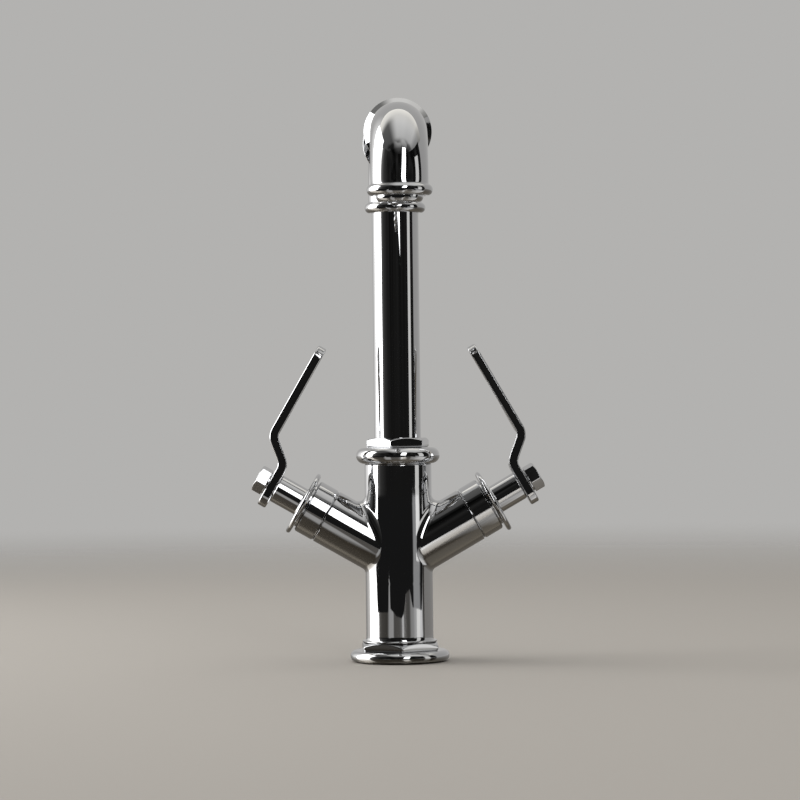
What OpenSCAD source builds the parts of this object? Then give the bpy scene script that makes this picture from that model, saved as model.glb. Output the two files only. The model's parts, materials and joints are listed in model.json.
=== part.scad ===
// Two-handle single-hole bar faucet in polished chrome.
// The origin is on the faucet's axis at the top of the deck, +Z is up and the spout points along -Y.
// Each handle has its own frame: u runs outwards along the arm's axis from the faucet's axis.

/* [Base] */
// Outside diameter of the base flange
flange_d = 50.8; // [48:0.1:60]
// Height of the base flange above the deck
flange_h = 5.9; // [5:0.1:8]
// Width across the flats of the base hexagon
base_af = 38; // [36:0.1:42]
// Height of the base hexagon
base_hex_h = 4.3; // [3:0.1:6]
// Turn of the base hexagon's corners from the front
base_turn = 2; // [-30:0.5:30]
// Thickness of the deck gasket
gasket_t = 1.5; // [1:0.1:2.5]

/* [Below the deck] */
// Diameter of the spigot that centres the faucet in the deck hole
spigot_d = 34; // [32:0.1:36]
// Depth of the spigot below the deck face
spigot_h = 3; // [2:0.1:4]
// Diameter of the threaded shank
shank_d = 28; // [27:0.1:29]
// Bore of the shank, for the supply hoses
shank_bore = 24; // [22:0.1:24.6]
// Length of the shank below the deck
shank_len = 60; // [50:1:90]
// Distance between the rings that stand for the shank's thread
thread_pitch = 2; // [1.5:0.1:3]
// Depth of the grooves between those rings
thread_depth = 0.8; // [0.4:0.05:1.2]
// Thickness of deck between the seat and the clamp washer as drawn
clamped_deck = 22; // [6:0.5:30]
// Outside diameter of the rubber and steel clamp washers
clamp_d = 44; // [42:0.5:52]
// Thickness of the rubber clamp washer
clamp_rubber_t = 2.5; // [1.5:0.1:4]
// Thickness of the steel clamp washer
clamp_steel_t = 2; // [1:0.1:3]
// Width across the flats of the locknut
locknut_af = 36; // [34:0.5:41]
// Height of the locknut
locknut_h = 8; // [6:0.5:12]

/* [Inlets] */
// Distance between the two inlet holes
inlet_pitch = 12.4; // [11.6:0.1:12.8]
// Diameter of an inlet's threaded hole
inlet_d = 9; // [8.4:0.1:9.4]
// Depth of an inlet's threaded hole
inlet_depth = 12; // [9:0.5:14]
// Length of the inlet block below the deck face
inlet_drop = 4; // [2:0.5:8]

/* [Body] */
// Diameter of the body's barrel
barrel_d = 34.5; // [33.5:0.1:36]
// Height of the body from its foot to its top
barrel_h = 91.1; // [88:0.1:110]
// Diameter of the body's foot
foot_d = 38.2; // [36.5:0.1:40]
// Height of the foot's hollow flare
foot_flare_h = 2.4; // [2:0.1:8]
// Height of the foot's straight lip
foot_lip_h = 0.6; // [0.3:0.1:1.2]
// Depth of the socket that takes the shank
shank_socket = 8.2; // [6:0.1:10]
// Diameter of the waterways in the body
waterway_d = 6; // [4:0.1:6.6]

/* [Arms] */
// Slope of the arms above the horizontal
arm_slope = 30; // [28:0.5:33]
// Distance from the body's top down to where the arms' axes meet
arm_fall = 47.9; // [46:0.1:50]
// Outside diameter of the arms and their bonnets
arm_d = 28; // [27:0.1:29.5]
// Length of an arm, from the faucet's axis to its end
arm_len = 43.1; // [42:0.1:48]
// Chamfer on each side of the groove between arm and bonnet
groove_c = 0.7; // [0.4:0.1:1]
// Distance from the faucet's axis to the cartridge seat
seat_u = 16; // [15.5:0.1:17]

/* [Cartridge] */
// Bore of the arm, round the cartridge
cartridge_bore = 21.2; // [20.6:0.1:21.6]
// Diameter of the ceramic discs' chamber
disc_chamber_d = 15.4; // [14.6:0.1:15.8]
// Thickness of a ceramic disc
disc_t = 3.5; // [2.5:0.1:4]
// Height of the seat seal
seat_seal_h = 2.3; // [1.6:0.1:3]
// Diameter of the spindle
spindle_d = 8.1; // [7.8:0.1:8.6]
// Width across the flats of the cartridge's hexagon
cartridge_af = 22; // [20:0.1:22.4]
// Height of the cartridge's hexagon
cartridge_hex_h = 2.9; // [2:0.1:3.4]
// Length of the cartridge's threaded nose
nose_len = 6; // [4.5:0.1:6.2]
// Diameter of the cartridge's threaded nose
nose_d = 18; // [16:0.1:19]
// Length of the cartridge's thread in the arm
cartridge_thread = 7.4; // [6:0.1:9]
// Distance of the cartridge's seal from the arm's end
cartridge_seal_in = 4; // [3:0.1:5]
// Diameter of the windows that let the water out of the cartridge
window_d = 4.2; // [3:0.1:4.6]
// Section of the rubber sealing rings
seal_section = 1.5; // [1.2:0.1:1.6]
// Distance of the spindle's outer seal from the arm's end
spindle_seal_in = 3.6; // [3:0.1:5]
// Distance between the spindle's two seals
spindle_seal_pitch = 5; // [4:0.1:6]

/* [Handle] */
// Length of the bonnet
bonnet_len = 10.7; // [10.4:0.1:13]
// Length of the bonnet's neck
neck_len = 0.8; // [0.5:0.1:2]
// Diameter of the bonnet's neck
neck_d = 24.8; // [20:0.1:26]
// Diameter of the handle's round flange
disc_d = 32.8; // [30:0.1:36]
// Thickness of the handle's round flange
disc_w = 2.5; // [2:0.1:4]
// Diameter of the handle's hub
hub_d = 14.4; // [13.4:0.1:16]
// Length of the hub, from its flange to the lever
hub_len = 14.2; // [12:0.1:18]
// Thickness of the lever's bar
lever_t = 4.76; // [4.4:0.02:6]
// Width of the lever's bar
lever_w = 12.7; // [11.6:0.1:16]
// Length of the lever above the hub's axis
lever_up = 74.5; // [55:0.5:95]
// Length of the lever below the hub's axis
lever_down = 11.8; // [10:0.1:16]
// Distance that the lever's bend carries it outwards
lever_offset = 12.9; // [6:0.1:18]
// Angle of the sloping part of the bend
lever_bend = 45; // [30:1:60]
// Radius of each bend, at the middle of the bar
lever_bend_r = 8; // [6:0.5:10]
// Height above the hub's axis where the bend starts
lever_straight = 9; // [7:0.1:14]
// Side of the hub's square key
key_side = 7; // [6.4:0.1:7.6]
// Width across the flats of the handle screw's head
screw_af = 12.7; // [11:0.1:13.5]
// Height of the handle screw's head
screw_head_h = 6.2; // [4:0.1:8]
// Diameter of the handle screw's shank
screw_d = 4.8; // [4:0.1:5]
// Thickness of the washer under the screw's head
lever_washer_t = 0.8; // [0.5:0.1:1.5]

/* [Spout joint] */
// Outside diameter of the round collar ring
ring_d = 43; // [40:0.1:46]
// Height of the round collar ring
ring_h = 8.4; // [6:0.1:10]
// Width across the flats of the spout nut
nut_af = 29.2; // [28.4:0.1:32]
// Height of the spout nut's hexagon
nut_h = 4.9; // [4:0.1:8]
// Turn of the spout nut's corners from the front
nut_turn = -13; // [-30:1:30]
// Diameter of the nut's threaded spigot
nut_spigot_d = 28; // [27.2:0.1:28.6]
// Depth that the nut's spigot reaches into the body
nut_reach = 10.3; // [8:0.1:12]
// Bore of the body where the spout's end turns
spout_bore = 25.96; // [25.8:0.02:26.4]
// Length of the spout's turning end
spout_end_h = 11.6; // [11:0.1:12.4]
// Distance of the spout's seals from the ends of its turning end
spout_seal_in = 3.4; // [2.6:0.1:4]

/* [Spout] */
// Outside diameter of the riser and the cross tube
tube_d = 24; // [23:0.1:24.4]
// Wall of the riser and the cross tube
tube_wall = 1.6; // [1:0.1:2]
// Height of the spout's level axis above the body's top
spout_rise = 161.1; // [120:0.1:220]
// Reach of the spout, from the faucet's axis to the outlet's axis
spout_reach = 127; // [95:1:200]
// Outside diameter of the elbows
elbow_d = 27.4; // [26.6:0.1:29]
// Radius of the elbows' bend, at the middle of the pipe
elbow_r = 24; // [20:0.1:30]
// Length of an elbow's upright leg below its bend
leg_len = 8.8; // [8:0.1:14]
// Length of an elbow's level leg beyond its bend
level_len = 6.6; // [6:0.1:12]
// Diameter of the bead on an elbow's upright leg
bead_d = 31.4; // [29.4:0.1:33]
// Width of the bead on an elbow's upright leg
bead_w = 5.4; // [2.5:0.1:7]
// Diameter of the collar on an elbow's level leg
collar_d = 32.6; // [30:0.1:35]
// Width of the collar on an elbow's level leg
collar_w = 4.9; // [4:0.1:5.5]
// Width of the slope on the collar's side towards the bend
collar_slope_w = 3.7; // [2:0.1:3.9]
// Depth of the socket in each end of an elbow
socket_depth = 6; // [5.9:0.1:6.6]

/* [Outlet] */
// Outside diameter of the aerator's housing
aerator_d = 22.6; // [21.8:0.1:24.6]
// Height of the housing that stands below the elbow
aerator_drop = 3.1; // [2.6:0.1:6]
// Diameter of the aerator's outlet
outlet_d = 16.8; // [14:0.1:17.4]
// Thickness of the washer on top of the aerator's housing
aerator_washer_t = 1.2; // [0.8:0.1:2]
// Diameter of the holes in the aerator's screen
screen_hole_d = 1.7; // [1:0.1:2]

/* [Hidden] */
$fn = 96;

chrome = [0.80, 0.81, 0.83];
brass = [0.78, 0.62, 0.34];
rubber = [0.09, 0.09, 0.10];
ceramic = [0.93, 0.92, 0.89];
plastic = [0.80, 0.80, 0.78];
steel = [0.62, 0.63, 0.64];

// Clearances between pieces that turn in each other, that screw together, and that pass by each other
turn_gap = 0.06;
thread_gap = 0.05;
side_gap = 0.3;
// Length that a cut runs past the face that it opens
over = 1;

// Heights above the deck
hex_z = flange_h;
foot_z = hex_z + base_hex_h;
socket_top = foot_z + shank_socket;
body_top = foot_z + barrel_h;
arm_z = body_top - arm_fall;
ring_top = body_top + ring_h;
nut_bottom = body_top - nut_reach;
thrust_t = 2.6;
ledge_z = nut_bottom - thrust_t;
end_top = ledge_z - side_gap;
bore_floor = end_top - spout_end_h - 0.5;
spout_z = body_top + spout_rise;
leg_bottom = spout_z - elbow_r - leg_len;
aerator_inside = socket_depth - aerator_washer_t;

// Radii
rim_r = flange_h / 2;
barrel_r = barrel_d / 2;
shank_r = shank_d / 2;
spigot_r = spigot_d / 2;
tube_r = tube_d / 2;
bore_r = tube_r - tube_wall;
arm_r = arm_d / 2;
spindle_r = spindle_d / 2;
nut_spigot_r = nut_spigot_d / 2;
waterway_r = waterway_d / 2;
spout_end_r = spout_bore / 2 - turn_gap;
disc_r = disc_chamber_d / 2 - side_gap;

// Places along an arm's axis
cartridge_u = seat_u + seat_seal_h;
moving_u = cartridge_u + disc_t + turn_gap;
driver_u = moving_u + disc_t;
driver_t = 3.2;
chamber_end = driver_u + driver_t + side_gap;
nose_u = arm_len + cartridge_hex_h;
nose_end = nose_u + nose_len;
clip_u = nose_end + side_gap;
clip_t = 0.6;
bonnet_end = arm_len + bonnet_len;
neck_end = bonnet_end + neck_len;
handle_u = neck_end + side_gap;
hub_u = handle_u + disc_w;
lever_u = hub_u + hub_len;
washer_u = lever_u + lever_t;
head_u = washer_u + lever_washer_t;

// The shank's plain length at each end of its thread, its number of rings and the width of a ring's crest
thread_end = 1.5;
thread_rings = floor((shank_len - spigot_h - 2 * thread_end) / thread_pitch);
crest_w = thread_pitch * 0.2;

// Details of the cartridge, its clip and the screw's hole in the spindle
barrel_wall = 1.5;
cartridge_r = cartridge_bore / 2 - thread_gap;
stem_r = disc_chamber_d / 2 + barrel_wall;
nose_r = nose_d / 2;
drive_side = spindle_d * 0.69;
drive_len = hub_len - 1.6;
tongue_w = 3;
tongue_h = 1.3;
clip_mouth = 3.2;
screw_hole_start = 4;
// Height of the lip inside the aerator's housing that holds the screen
outlet_lip = 1.4;
// The part of a hexagon's half width where the cone that turns off its corners starts, and the cone's slope
cone_start = 0.97;
cone_slope = 30;

// Places a piece on an arm, with its own +Z along the arm; side is 1 on the right and -1 on the left
module on_arm(side) {
    mirror([side < 0 ? 1 : 0, 0, 0])
        translate([0, 0, arm_z])
            rotate([0, 90 - arm_slope, 0])
                children();
}

// Lifts a piece along its own axis
module up(z) {
    translate([0, 0, z])
        children();
}

// A round bar with a chamfer at its far end, and another at its near end where one is asked for
module bar(r, h, far = 0, near = 0) {
    rotate_extrude()
        polygon([[0, 0], [r - near, 0], [r, near], [r, h - far], [r - far, h], [0, h]]);
}

// A tube of radius r
module pipe(r, bore, h) {
    difference() {
        cylinder(r = r, h = h);
        up(-over)
            cylinder(r = bore, h = h + 2 * over);
    }
}

// A ring whose rim is a full half round
module round_rim_ring(r, bore, h) {
    rotate_extrude()
        intersection() {
            union() {
                translate([r - h / 2, h / 2])
                    circle(d = h);
                square([r - h / 2, h]);
            }
            translate([bore, 0])
                square([r - bore, h]);
        }
}

// A sealing ring of round section that fills a groove out to the radius r
module seal_ring(r, section) {
    rotate_extrude()
        translate([r - section / 2, 0])
            circle(d = section, $fn = 32);
}

// A groove for a sealing ring, cut into a bar of radius r, with its middle at height 0
module seal_groove_cut(r, section) {
    difference() {
        up(-section / 2 - 0.2)
            cylinder(r = r + over, h = section + 0.4);
        up(-section)
            cylinder(r = r - section, h = 2 * section);
    }
}

// A hexagon with one corner at the front, whose corners are turned off to a cone at the top and bottom
module hexagon(af, h, top = true, bottom = false) {
    corner = af / sqrt(3);
    flat_r = af / 2 * cone_start;
    drop = (corner - flat_r) * tan(cone_slope);
    low = bottom ? drop : 0;
    high = top ? drop : 0;
    intersection() {
        rotate([0, 0, 30])
            cylinder(r = corner, h = h, $fn = 6);
        rotate_extrude()
            polygon([
                [0, 0], [bottom ? flat_r : corner + over, 0], [corner + (bottom ? 0 : over), low],
                [corner + (top ? 0 : over), h - high], [top ? flat_r : corner + over, h], [0, h]
            ]);
    }
}

// The flange that covers the deck hole, with a round rim and a recess for the gasket
module base_flange() {
    color(chrome)
        difference() {
            round_rim_ring(flange_d / 2, shank_r + thread_gap, flange_h);
            up(-over)
                difference() {
                    cylinder(r = flange_d / 2 - rim_r - over, h = gasket_t + over);
                    cylinder(r = spigot_r + over, h = gasket_t + over);
                }
        }
}

// The rubber ring that seals the flange to the deck
module deck_gasket() {
    gasket_r = flange_d / 2 - rim_r - over;
    color(rubber)
        difference() {
            cylinder(r = gasket_r - thread_gap, h = gasket_t);
            up(-over)
                cylinder(r = spigot_r + over + thread_gap, h = gasket_t + 2 * over);
        }
}

// The hexagon that locks the flange to the shank
module base_hexagon() {
    color(chrome)
        up(hex_z)
            difference() {
                rotate([0, 0, base_turn])
                    hexagon(base_af, base_hex_h);
                up(-over)
                    cylinder(r = shank_r + thread_gap, h = base_hex_h + 2 * over);
            }
}

// The outline of the shank below the spigot: plain ends, and rings in place of the thread between them
module shank_outline() {
    flank = (thread_pitch - crest_w) / 2;
    polygon(concat(
        [[0, -shank_len], [shank_r - 1, -shank_len], [shank_r, 1 - shank_len]],
        [for (i = [0:thread_rings - 1])
            let (z = thread_end - shank_len + i * thread_pitch)
            each [[shank_r, z], [shank_r - thread_depth, z + flank], [shank_r, z + 2 * flank]]],
        [[shank_r, 0], [0, 0]]
    ));
}

// The hollow threaded shank, with the spigot that centres it in the deck hole
module shank() {
    color(brass)
        difference() {
            union() {
                rotate_extrude()
                    shank_outline();
                bar(shank_r, socket_top, 0.8);
                up(-spigot_h)
                    cylinder(r = spigot_r, h = spigot_h);
            }
            up(-shank_len - over)
                cylinder(d = shank_bore, h = shank_len + socket_top + 2 * over);
        }
}

// The block at the top of the shank with the two threaded inlets
module inlet_block() {
    block_h = socket_top + inlet_drop;
    color(brass)
        up(-inlet_drop)
            difference() {
                cylinder(r = shank_bore / 2 - thread_gap, h = block_h);
                for (side = [-1, 1])
                    translate([side * inlet_pitch / 2, 0, 0]) {
                        up(-over)
                            cylinder(d = inlet_d, h = inlet_depth + over);
                        cylinder(r = waterway_r, h = block_h + over);
                    }
            }
}

// The outline of the body's barrel and foot, turned about the faucet's axis
module body_outline() {
    foot_r = foot_d / 2;
    flare = foot_r - barrel_r;
    cove_r = (foot_flare_h * foot_flare_h + flare * flare) / (2 * flare);
    flare_top = foot_lip_h + foot_flare_h;
    rotate_extrude() {
        difference() {
            square([foot_r, flare_top]);
            translate([barrel_r + cove_r, flare_top])
                circle(r = cove_r);
        }
        polygon([
            [0, 0], [barrel_r, 0], [barrel_r, barrel_h - 0.8], [barrel_r - 0.8, barrel_h], [0, barrel_h]
        ]);
    }
}

// The waterways: up from each inlet to the middle of its valve seat, and back up to the spout
module waterways() {
    inlet_x = inlet_pitch / 2;
    return_r = waterway_r * 0.75;
    return_x = spout_bore / 2 - return_r - 0.2;
    seat_hole_r = waterway_r + 0.5;
    seat_hole_u = inlet_x / cos(arm_slope) - 1.6;
    return_z = arm_z + (seat_u - return_x * cos(arm_slope)) / sin(arm_slope) - 0.2;
    for (side = [-1, 1]) {
        translate([side * inlet_x, 0, socket_top - over])
            cylinder(r = waterway_r, h = arm_z + inlet_x * tan(arm_slope) - socket_top + over);
        on_arm(side) {
            up(seat_hole_u)
                cylinder(r = seat_hole_r, h = seat_u - seat_hole_u + over);
            up(seat_u)
                cylinder(d = cartridge_bore, h = arm_len - seat_u + over);
        }
        translate([side * return_x, 0, return_z])
            cylinder(r = return_r, h = bore_floor + over - return_z);
    }
}

// The cast body: barrel, foot and two arms, bored for the shank, the cartridges and the spout
module body() {
    color(chrome)
        difference() {
            union() {
                up(foot_z)
                    body_outline();
                for (side = [-1, 1])
                    on_arm(side)
                        bar(arm_r, arm_len, groove_c);
            }
            up(foot_z - over)
                cylinder(r = shank_r + thread_gap, h = shank_socket + over);
            up(bore_floor)
                cylinder(d = spout_bore, h = body_top - bore_floor + over);
            up(ledge_z)
                cylinder(r = nut_spigot_r + thread_gap, h = body_top - ledge_z + over);
            waterways();
        }
}

// The round ring that the spout nut clamps on the body's top
module collar_ring() {
    color(chrome)
        up(body_top)
            round_rim_ring(ring_d / 2, nut_spigot_r + thread_gap, ring_h);
}

// The nut that holds the spout: a hexagon above the ring and a threaded spigot down into the body
module spout_nut() {
    color(chrome)
        difference() {
            union() {
                up(ring_top)
                    rotate([0, 0, nut_turn])
                        hexagon(nut_af, nut_h);
                up(nut_bottom)
                    cylinder(r = nut_spigot_r, h = ring_top - nut_bottom + 0.5);
            }
            up(nut_bottom - over)
                cylinder(r = tube_r + turn_gap, h = ring_top + nut_h - nut_bottom + 2 * over);
        }
}

// The plastic washer between the nut and the spout's turning end
module thrust_washer() {
    color(plastic)
        up(ledge_z)
            pipe(nut_spigot_r - thread_gap, tube_r + turn_gap + 0.1, thrust_t - thread_gap);
}

// The rubber ring that seals the fixed disc to its seat
module seat_seal(side) {
    color(rubber)
        on_arm(side)
            up(seat_u)
                pipe(disc_r - 0.1, disc_r - 1.2, seat_seal_h);
}

// Two openings of a ceramic disc, each a sector of a ring
module disc_ports(h) {
    linear_extrude(height = h)
        intersection() {
            difference() {
                circle(r = disc_r - 1.2);
                circle(r = 2);
            }
            for (turn = [0, 180])
                rotate([0, 0, turn])
                    polygon([
                        [0, 0], [disc_r * cos(35), -disc_r * sin(35)], [disc_r * cos(35), disc_r * sin(35)]
                    ]);
        }
}

// The ceramic disc that stands still, with its ports across the arm
module fixed_disc(side) {
    color(ceramic)
        on_arm(side)
            up(cartridge_u)
                difference() {
                    cylinder(r = disc_r, h = disc_t);
                    up(-over)
                        disc_ports(disc_t + 2 * over);
                }
}

// The ceramic disc that the spindle turns, closed over the other disc's ports at rest
module moving_disc(side) {
    color(ceramic)
        on_arm(side)
            up(moving_u)
                rotate([0, 0, 90])
                    difference() {
                        cylinder(r = disc_r, h = disc_t);
                        up(-over)
                            disc_ports(disc_t + 2 * over);
                        translate([-tongue_w / 2 - 0.1, -disc_r - over, disc_t - tongue_h - 0.1])
                            cube([tongue_w + 0.2, 2 * disc_r + 2 * over, tongue_h + over]);
                    }
}

// The brass cartridge: a stem with the discs' chamber and windows, a thread, a hexagon and a nose
module cartridge(side) {
    color(brass)
        on_arm(side)
            difference() {
                union() {
                    up(cartridge_u)
                        cylinder(r = stem_r, h = arm_len - cartridge_u);
                    up(arm_len - cartridge_thread)
                        bar(cartridge_r, cartridge_thread, 0, 0.6);
                    up(arm_len)
                        hexagon(cartridge_af, cartridge_hex_h);
                    up(nose_u)
                        bar(nose_r, nose_len, 0.6);
                }
                up(cartridge_u - over)
                    cylinder(d = disc_chamber_d, h = chamber_end - cartridge_u + over);
                up(cartridge_u)
                    cylinder(r = spindle_r + turn_gap, h = nose_end - cartridge_u + over);
                up(moving_u + disc_t / 2)
                    for (turn = [0, 90])
                        rotate([90, 0, turn])
                            cylinder(d = window_d, h = 4 * stem_r, center = true);
                up(arm_len - cartridge_seal_in)
                    seal_groove_cut(cartridge_r, seal_section);
            }
}

// The rubber ring in the cartridge's groove, against the arm's bore
module cartridge_seal(side) {
    color(rubber)
        on_arm(side)
            up(arm_len - cartridge_seal_in)
                seal_ring(cartridge_r, seal_section);
}

// The chrome cap on the arm's end, screwed on the cartridge's nose
module bonnet(side) {
    cavity_r = cartridge_af / sqrt(3) + side_gap;
    wall_u = clip_u + clip_t + side_gap;
    color(chrome)
        on_arm(side)
            difference() {
                union() {
                    up(arm_len)
                        bar(arm_r, bonnet_len, groove_c, groove_c);
                    up(arm_len)
                        cylinder(d = neck_d, h = neck_end - arm_len);
                }
                up(arm_len - over)
                    cylinder(r = cavity_r, h = cartridge_hex_h + over + 0.1);
                up(arm_len)
                    cylinder(r = nose_r + thread_gap, h = wall_u - arm_len);
                up(arm_len)
                    cylinder(r = spindle_r + side_gap, h = neck_end - arm_len + over);
            }
}

// The spindle that joins the handle to the moving disc
module spindle(side) {
    color(brass)
        on_arm(side)
            difference() {
                union() {
                    up(driver_u)
                        cylinder(r = disc_r, h = driver_t);
                    translate([-disc_r, -tongue_w / 2, driver_u - tongue_h])
                        intersection() {
                            cube([2 * disc_r, tongue_w, tongue_h + 0.5]);
                            translate([disc_r, tongue_w / 2, 0])
                                cylinder(r = disc_r, h = tongue_h + 0.5);
                        }
                    up(driver_u)
                        cylinder(r = spindle_r, h = handle_u - driver_u);
                    translate([-drive_side / 2, -drive_side / 2, handle_u - 0.5])
                        cube([drive_side, drive_side, drive_len + 0.5]);
                }
                for (at = spindle_seal_places())
                    up(at)
                        seal_groove_cut(spindle_r, seal_section);
                up(clip_u)
                    difference() {
                        cylinder(r = spindle_r + over, h = clip_t);
                        up(-over)
                            cylinder(r = spindle_r - 0.8, h = clip_t + 2 * over);
                    }
                up(handle_u + screw_hole_start)
                    cylinder(d = screw_d + 2 * thread_gap, h = drive_len);
            }
}

// Where the spindle's two seals lie along the arm
function spindle_seal_places() = [for (i = [0, 1]) arm_len - spindle_seal_in - i * spindle_seal_pitch];

// The two rubber rings on the spindle
module spindle_seals(side) {
    color(rubber)
        on_arm(side)
            for (at = spindle_seal_places())
                up(at)
                    seal_ring(spindle_r, seal_section);
}

// The open spring clip that keeps the spindle in the cartridge
module spindle_clip(side) {
    clip_r = spindle_r + 2;
    color(steel)
        on_arm(side)
            up(clip_u)
                difference() {
                    cylinder(r = clip_r, h = clip_t);
                    up(-over)
                        cylinder(r = spindle_r - 0.8, h = clip_t + 2 * over);
                    translate([0, -clip_mouth / 2, -over])
                        cube([clip_r + over, clip_mouth, clip_t + 2 * over]);
                }
}

// The handle's hub and its round flange, with a square socket for the spindle and a square key
module hub(side) {
    key_h = lever_t - 0.6;
    color(chrome)
        on_arm(side)
            difference() {
                union() {
                    up(handle_u)
                        round_rim_ring(disc_d / 2, 0, disc_w);
                    up(handle_u)
                        bar(hub_d / 2, disc_w + hub_len, 0.5);
                    translate([-key_side / 2, -key_side / 2, lever_u - 0.5])
                        cube([key_side, key_side, key_h + 0.5]);
                }
                translate([-drive_side / 2 - thread_gap, -drive_side / 2 - thread_gap, handle_u - over])
                    cube([
                        drive_side + 2 * thread_gap, drive_side + 2 * thread_gap, drive_len + over + 0.2
                    ]);
                up(handle_u)
                    cylinder(d = screw_d + 4 * thread_gap, h = lever_u + lever_t - handle_u);
            }
}

// One side of the lever's edge view, off to one side of the bar's middle, as points [height, u]
function lever_side(off) =
    let (
        low = lever_u + lever_t / 2,
        high = low + lever_offset,
        slope_len = (lever_offset - 2 * lever_bend_r * (1 - cos(lever_bend))) / sin(lever_bend),
        bend_end = lever_straight + 2 * lever_bend_r * sin(lever_bend) + slope_len * cos(lever_bend),
        steps = 10
    )
    concat(
        [[-lever_down, low + off]],
        [for (i = [0:steps])
            let (a = lever_bend * i / steps)
            [
                lever_straight + (lever_bend_r - off) * sin(a),
                low + lever_bend_r - (lever_bend_r - off) * cos(a)
            ]],
        [for (i = [steps:-1:0])
            let (a = lever_bend * i / steps)
            [
                bend_end - (lever_bend_r + off) * sin(a),
                high - lever_bend_r + (lever_bend_r + off) * cos(a)
            ]],
        [[lever_up, high + off]]
    );

// The flat bar lever: joggled in its edge view and round-ended in its wide view
module lever(side) {
    inner = lever_side(-lever_t / 2);
    outer = lever_side(lever_t / 2);
    edge = concat(inner, [for (i = [len(outer) - 1:-1:0]) outer[i]]);
    end_r = lever_w / 2;
    color(chrome)
        on_arm(side)
            difference() {
                intersection() {
                    rotate([90, 0, 0])
                        linear_extrude(height = lever_w + 2 * over, center = true)
                            polygon([for (p = edge) [-p[0], p[1]]]);
                    up(lever_u - over)
                        linear_extrude(height = lever_offset + lever_t + 2 * over) {
                            translate([end_r - lever_up, 0])
                                circle(r = end_r);
                            translate([lever_down - end_r, 0])
                                circle(r = end_r);
                            translate([end_r - lever_up, -end_r])
                                square([lever_up + lever_down - lever_w, lever_w]);
                        }
                }
                translate([-key_side / 2 - thread_gap, -key_side / 2 - thread_gap, lever_u - over])
                    cube([key_side + 2 * thread_gap, key_side + 2 * thread_gap, lever_t + 2 * over]);
            }
}

// The washer between the lever and the screw's head
module lever_washer(side) {
    color(chrome)
        on_arm(side)
            up(washer_u)
                pipe(screw_af / 2 - 0.2, screw_d / 2 + 2 * thread_gap, lever_washer_t);
}

// The hexagon-headed screw that holds the lever on the hub
module handle_screw(side) {
    turn = side < 0 ? 12 : 0;
    screw_reach = drive_len - 3;
    color(chrome)
        on_arm(side) {
            up(head_u)
                rotate([0, 0, turn])
                    hexagon(screw_af, screw_head_h);
            up(head_u - lever_washer_t - lever_t - screw_reach)
                bar(screw_d / 2, lever_washer_t + lever_t + screw_reach + 0.5, 0, 0.5);
        }
}

// The spout's turning end: a brass collar with two seal grooves and a neck inside the riser
module spout_end() {
    neck_h = 10;
    color(brass)
        difference() {
            union() {
                up(end_top - spout_end_h)
                    bar(spout_end_r, spout_end_h, 0, 0.6);
                up(end_top - over)
                    cylinder(r = bore_r - thread_gap, h = neck_h + over);
            }
            up(end_top - spout_end_h - over)
                cylinder(r = bore_r - 2, h = spout_end_h + neck_h + 2 * over);
            for (at = spout_seal_places())
                up(at)
                    seal_groove_cut(spout_end_r, seal_section);
        }
}

// Heights of the two seals on the spout's turning end
function spout_seal_places() = [end_top - spout_end_h + spout_seal_in, end_top - spout_seal_in];

// The two rubber rings that seal the turning spout
module spout_seals() {
    color(rubber)
        for (at = spout_seal_places())
            up(at)
                seal_ring(spout_end_r, seal_section);
}

// The upright tube
module riser() {
    color(chrome)
        up(end_top)
            pipe(tube_r, bore_r, leg_bottom + socket_depth - end_top);
}

// The collar on an elbow's level leg: a slope that comes out of the leg's wall, and a short cylinder
module sloped_collar() {
    rotate_extrude()
        polygon([
            [bore_r, 0], [elbow_d / 2 - over, 0], [collar_d / 2, collar_slope_w],
            [collar_d / 2, collar_w], [bore_r, collar_w]
        ]);
}

// One elbow about its own upright axis, open along -Y, with a bead, a collar and a socket in each end
module elbow() {
    outer = elbow_d / 2;
    leg_z = -elbow_r - leg_len;
    level_y = elbow_r + level_len;
    difference() {
        union() {
            elbow_bend(outer);
            up(leg_z)
                cylinder(r = outer, h = leg_len);
            up(leg_z)
                round_rim_ring(bead_d / 2, bore_r, bead_w);
            rotate([90, 0, 0]) {
                up(elbow_r)
                    cylinder(r = outer, h = level_len);
                up(level_y - collar_w)
                    sloped_collar();
            }
        }
        elbow_bend(bore_r);
        up(leg_z - over)
            cylinder(r = bore_r, h = leg_len + over);
        up(leg_z - over)
            cylinder(r = tube_r + thread_gap, h = socket_depth + over);
        rotate([90, 0, 0]) {
            up(elbow_r)
                cylinder(r = bore_r, h = level_len + over);
            up(level_y - socket_depth)
                cylinder(r = tube_r + thread_gap, h = socket_depth + over);
        }
    }
}

// The quarter bend of an elbow, solid, with the radius r
module elbow_bend(r) {
    translate([0, -elbow_r, -elbow_r])
        rotate([90, 0, 90])
            rotate_extrude(angle = 90)
                translate([elbow_r, 0])
                    circle(r = r);
}

// The elbow on top of the riser
module rear_elbow() {
    color(chrome)
        up(spout_z)
            elbow();
}

// The elbow that turns down to the outlet
module front_elbow() {
    color(chrome)
        translate([0, -spout_reach, spout_z])
            mirror([0, 1, 0])
                elbow();
}

// The level tube between the elbows
module cross_tube() {
    start = elbow_r + level_len - socket_depth;
    color(chrome)
        translate([0, 0, spout_z])
            rotate([90, 0, 0])
                up(start)
                    pipe(tube_r, bore_r, spout_reach - 2 * start);
}

// Places a piece of the outlet, with height 0 at the front elbow's end
module at_outlet() {
    translate([0, -spout_reach, leg_bottom])
        children();
}

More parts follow.
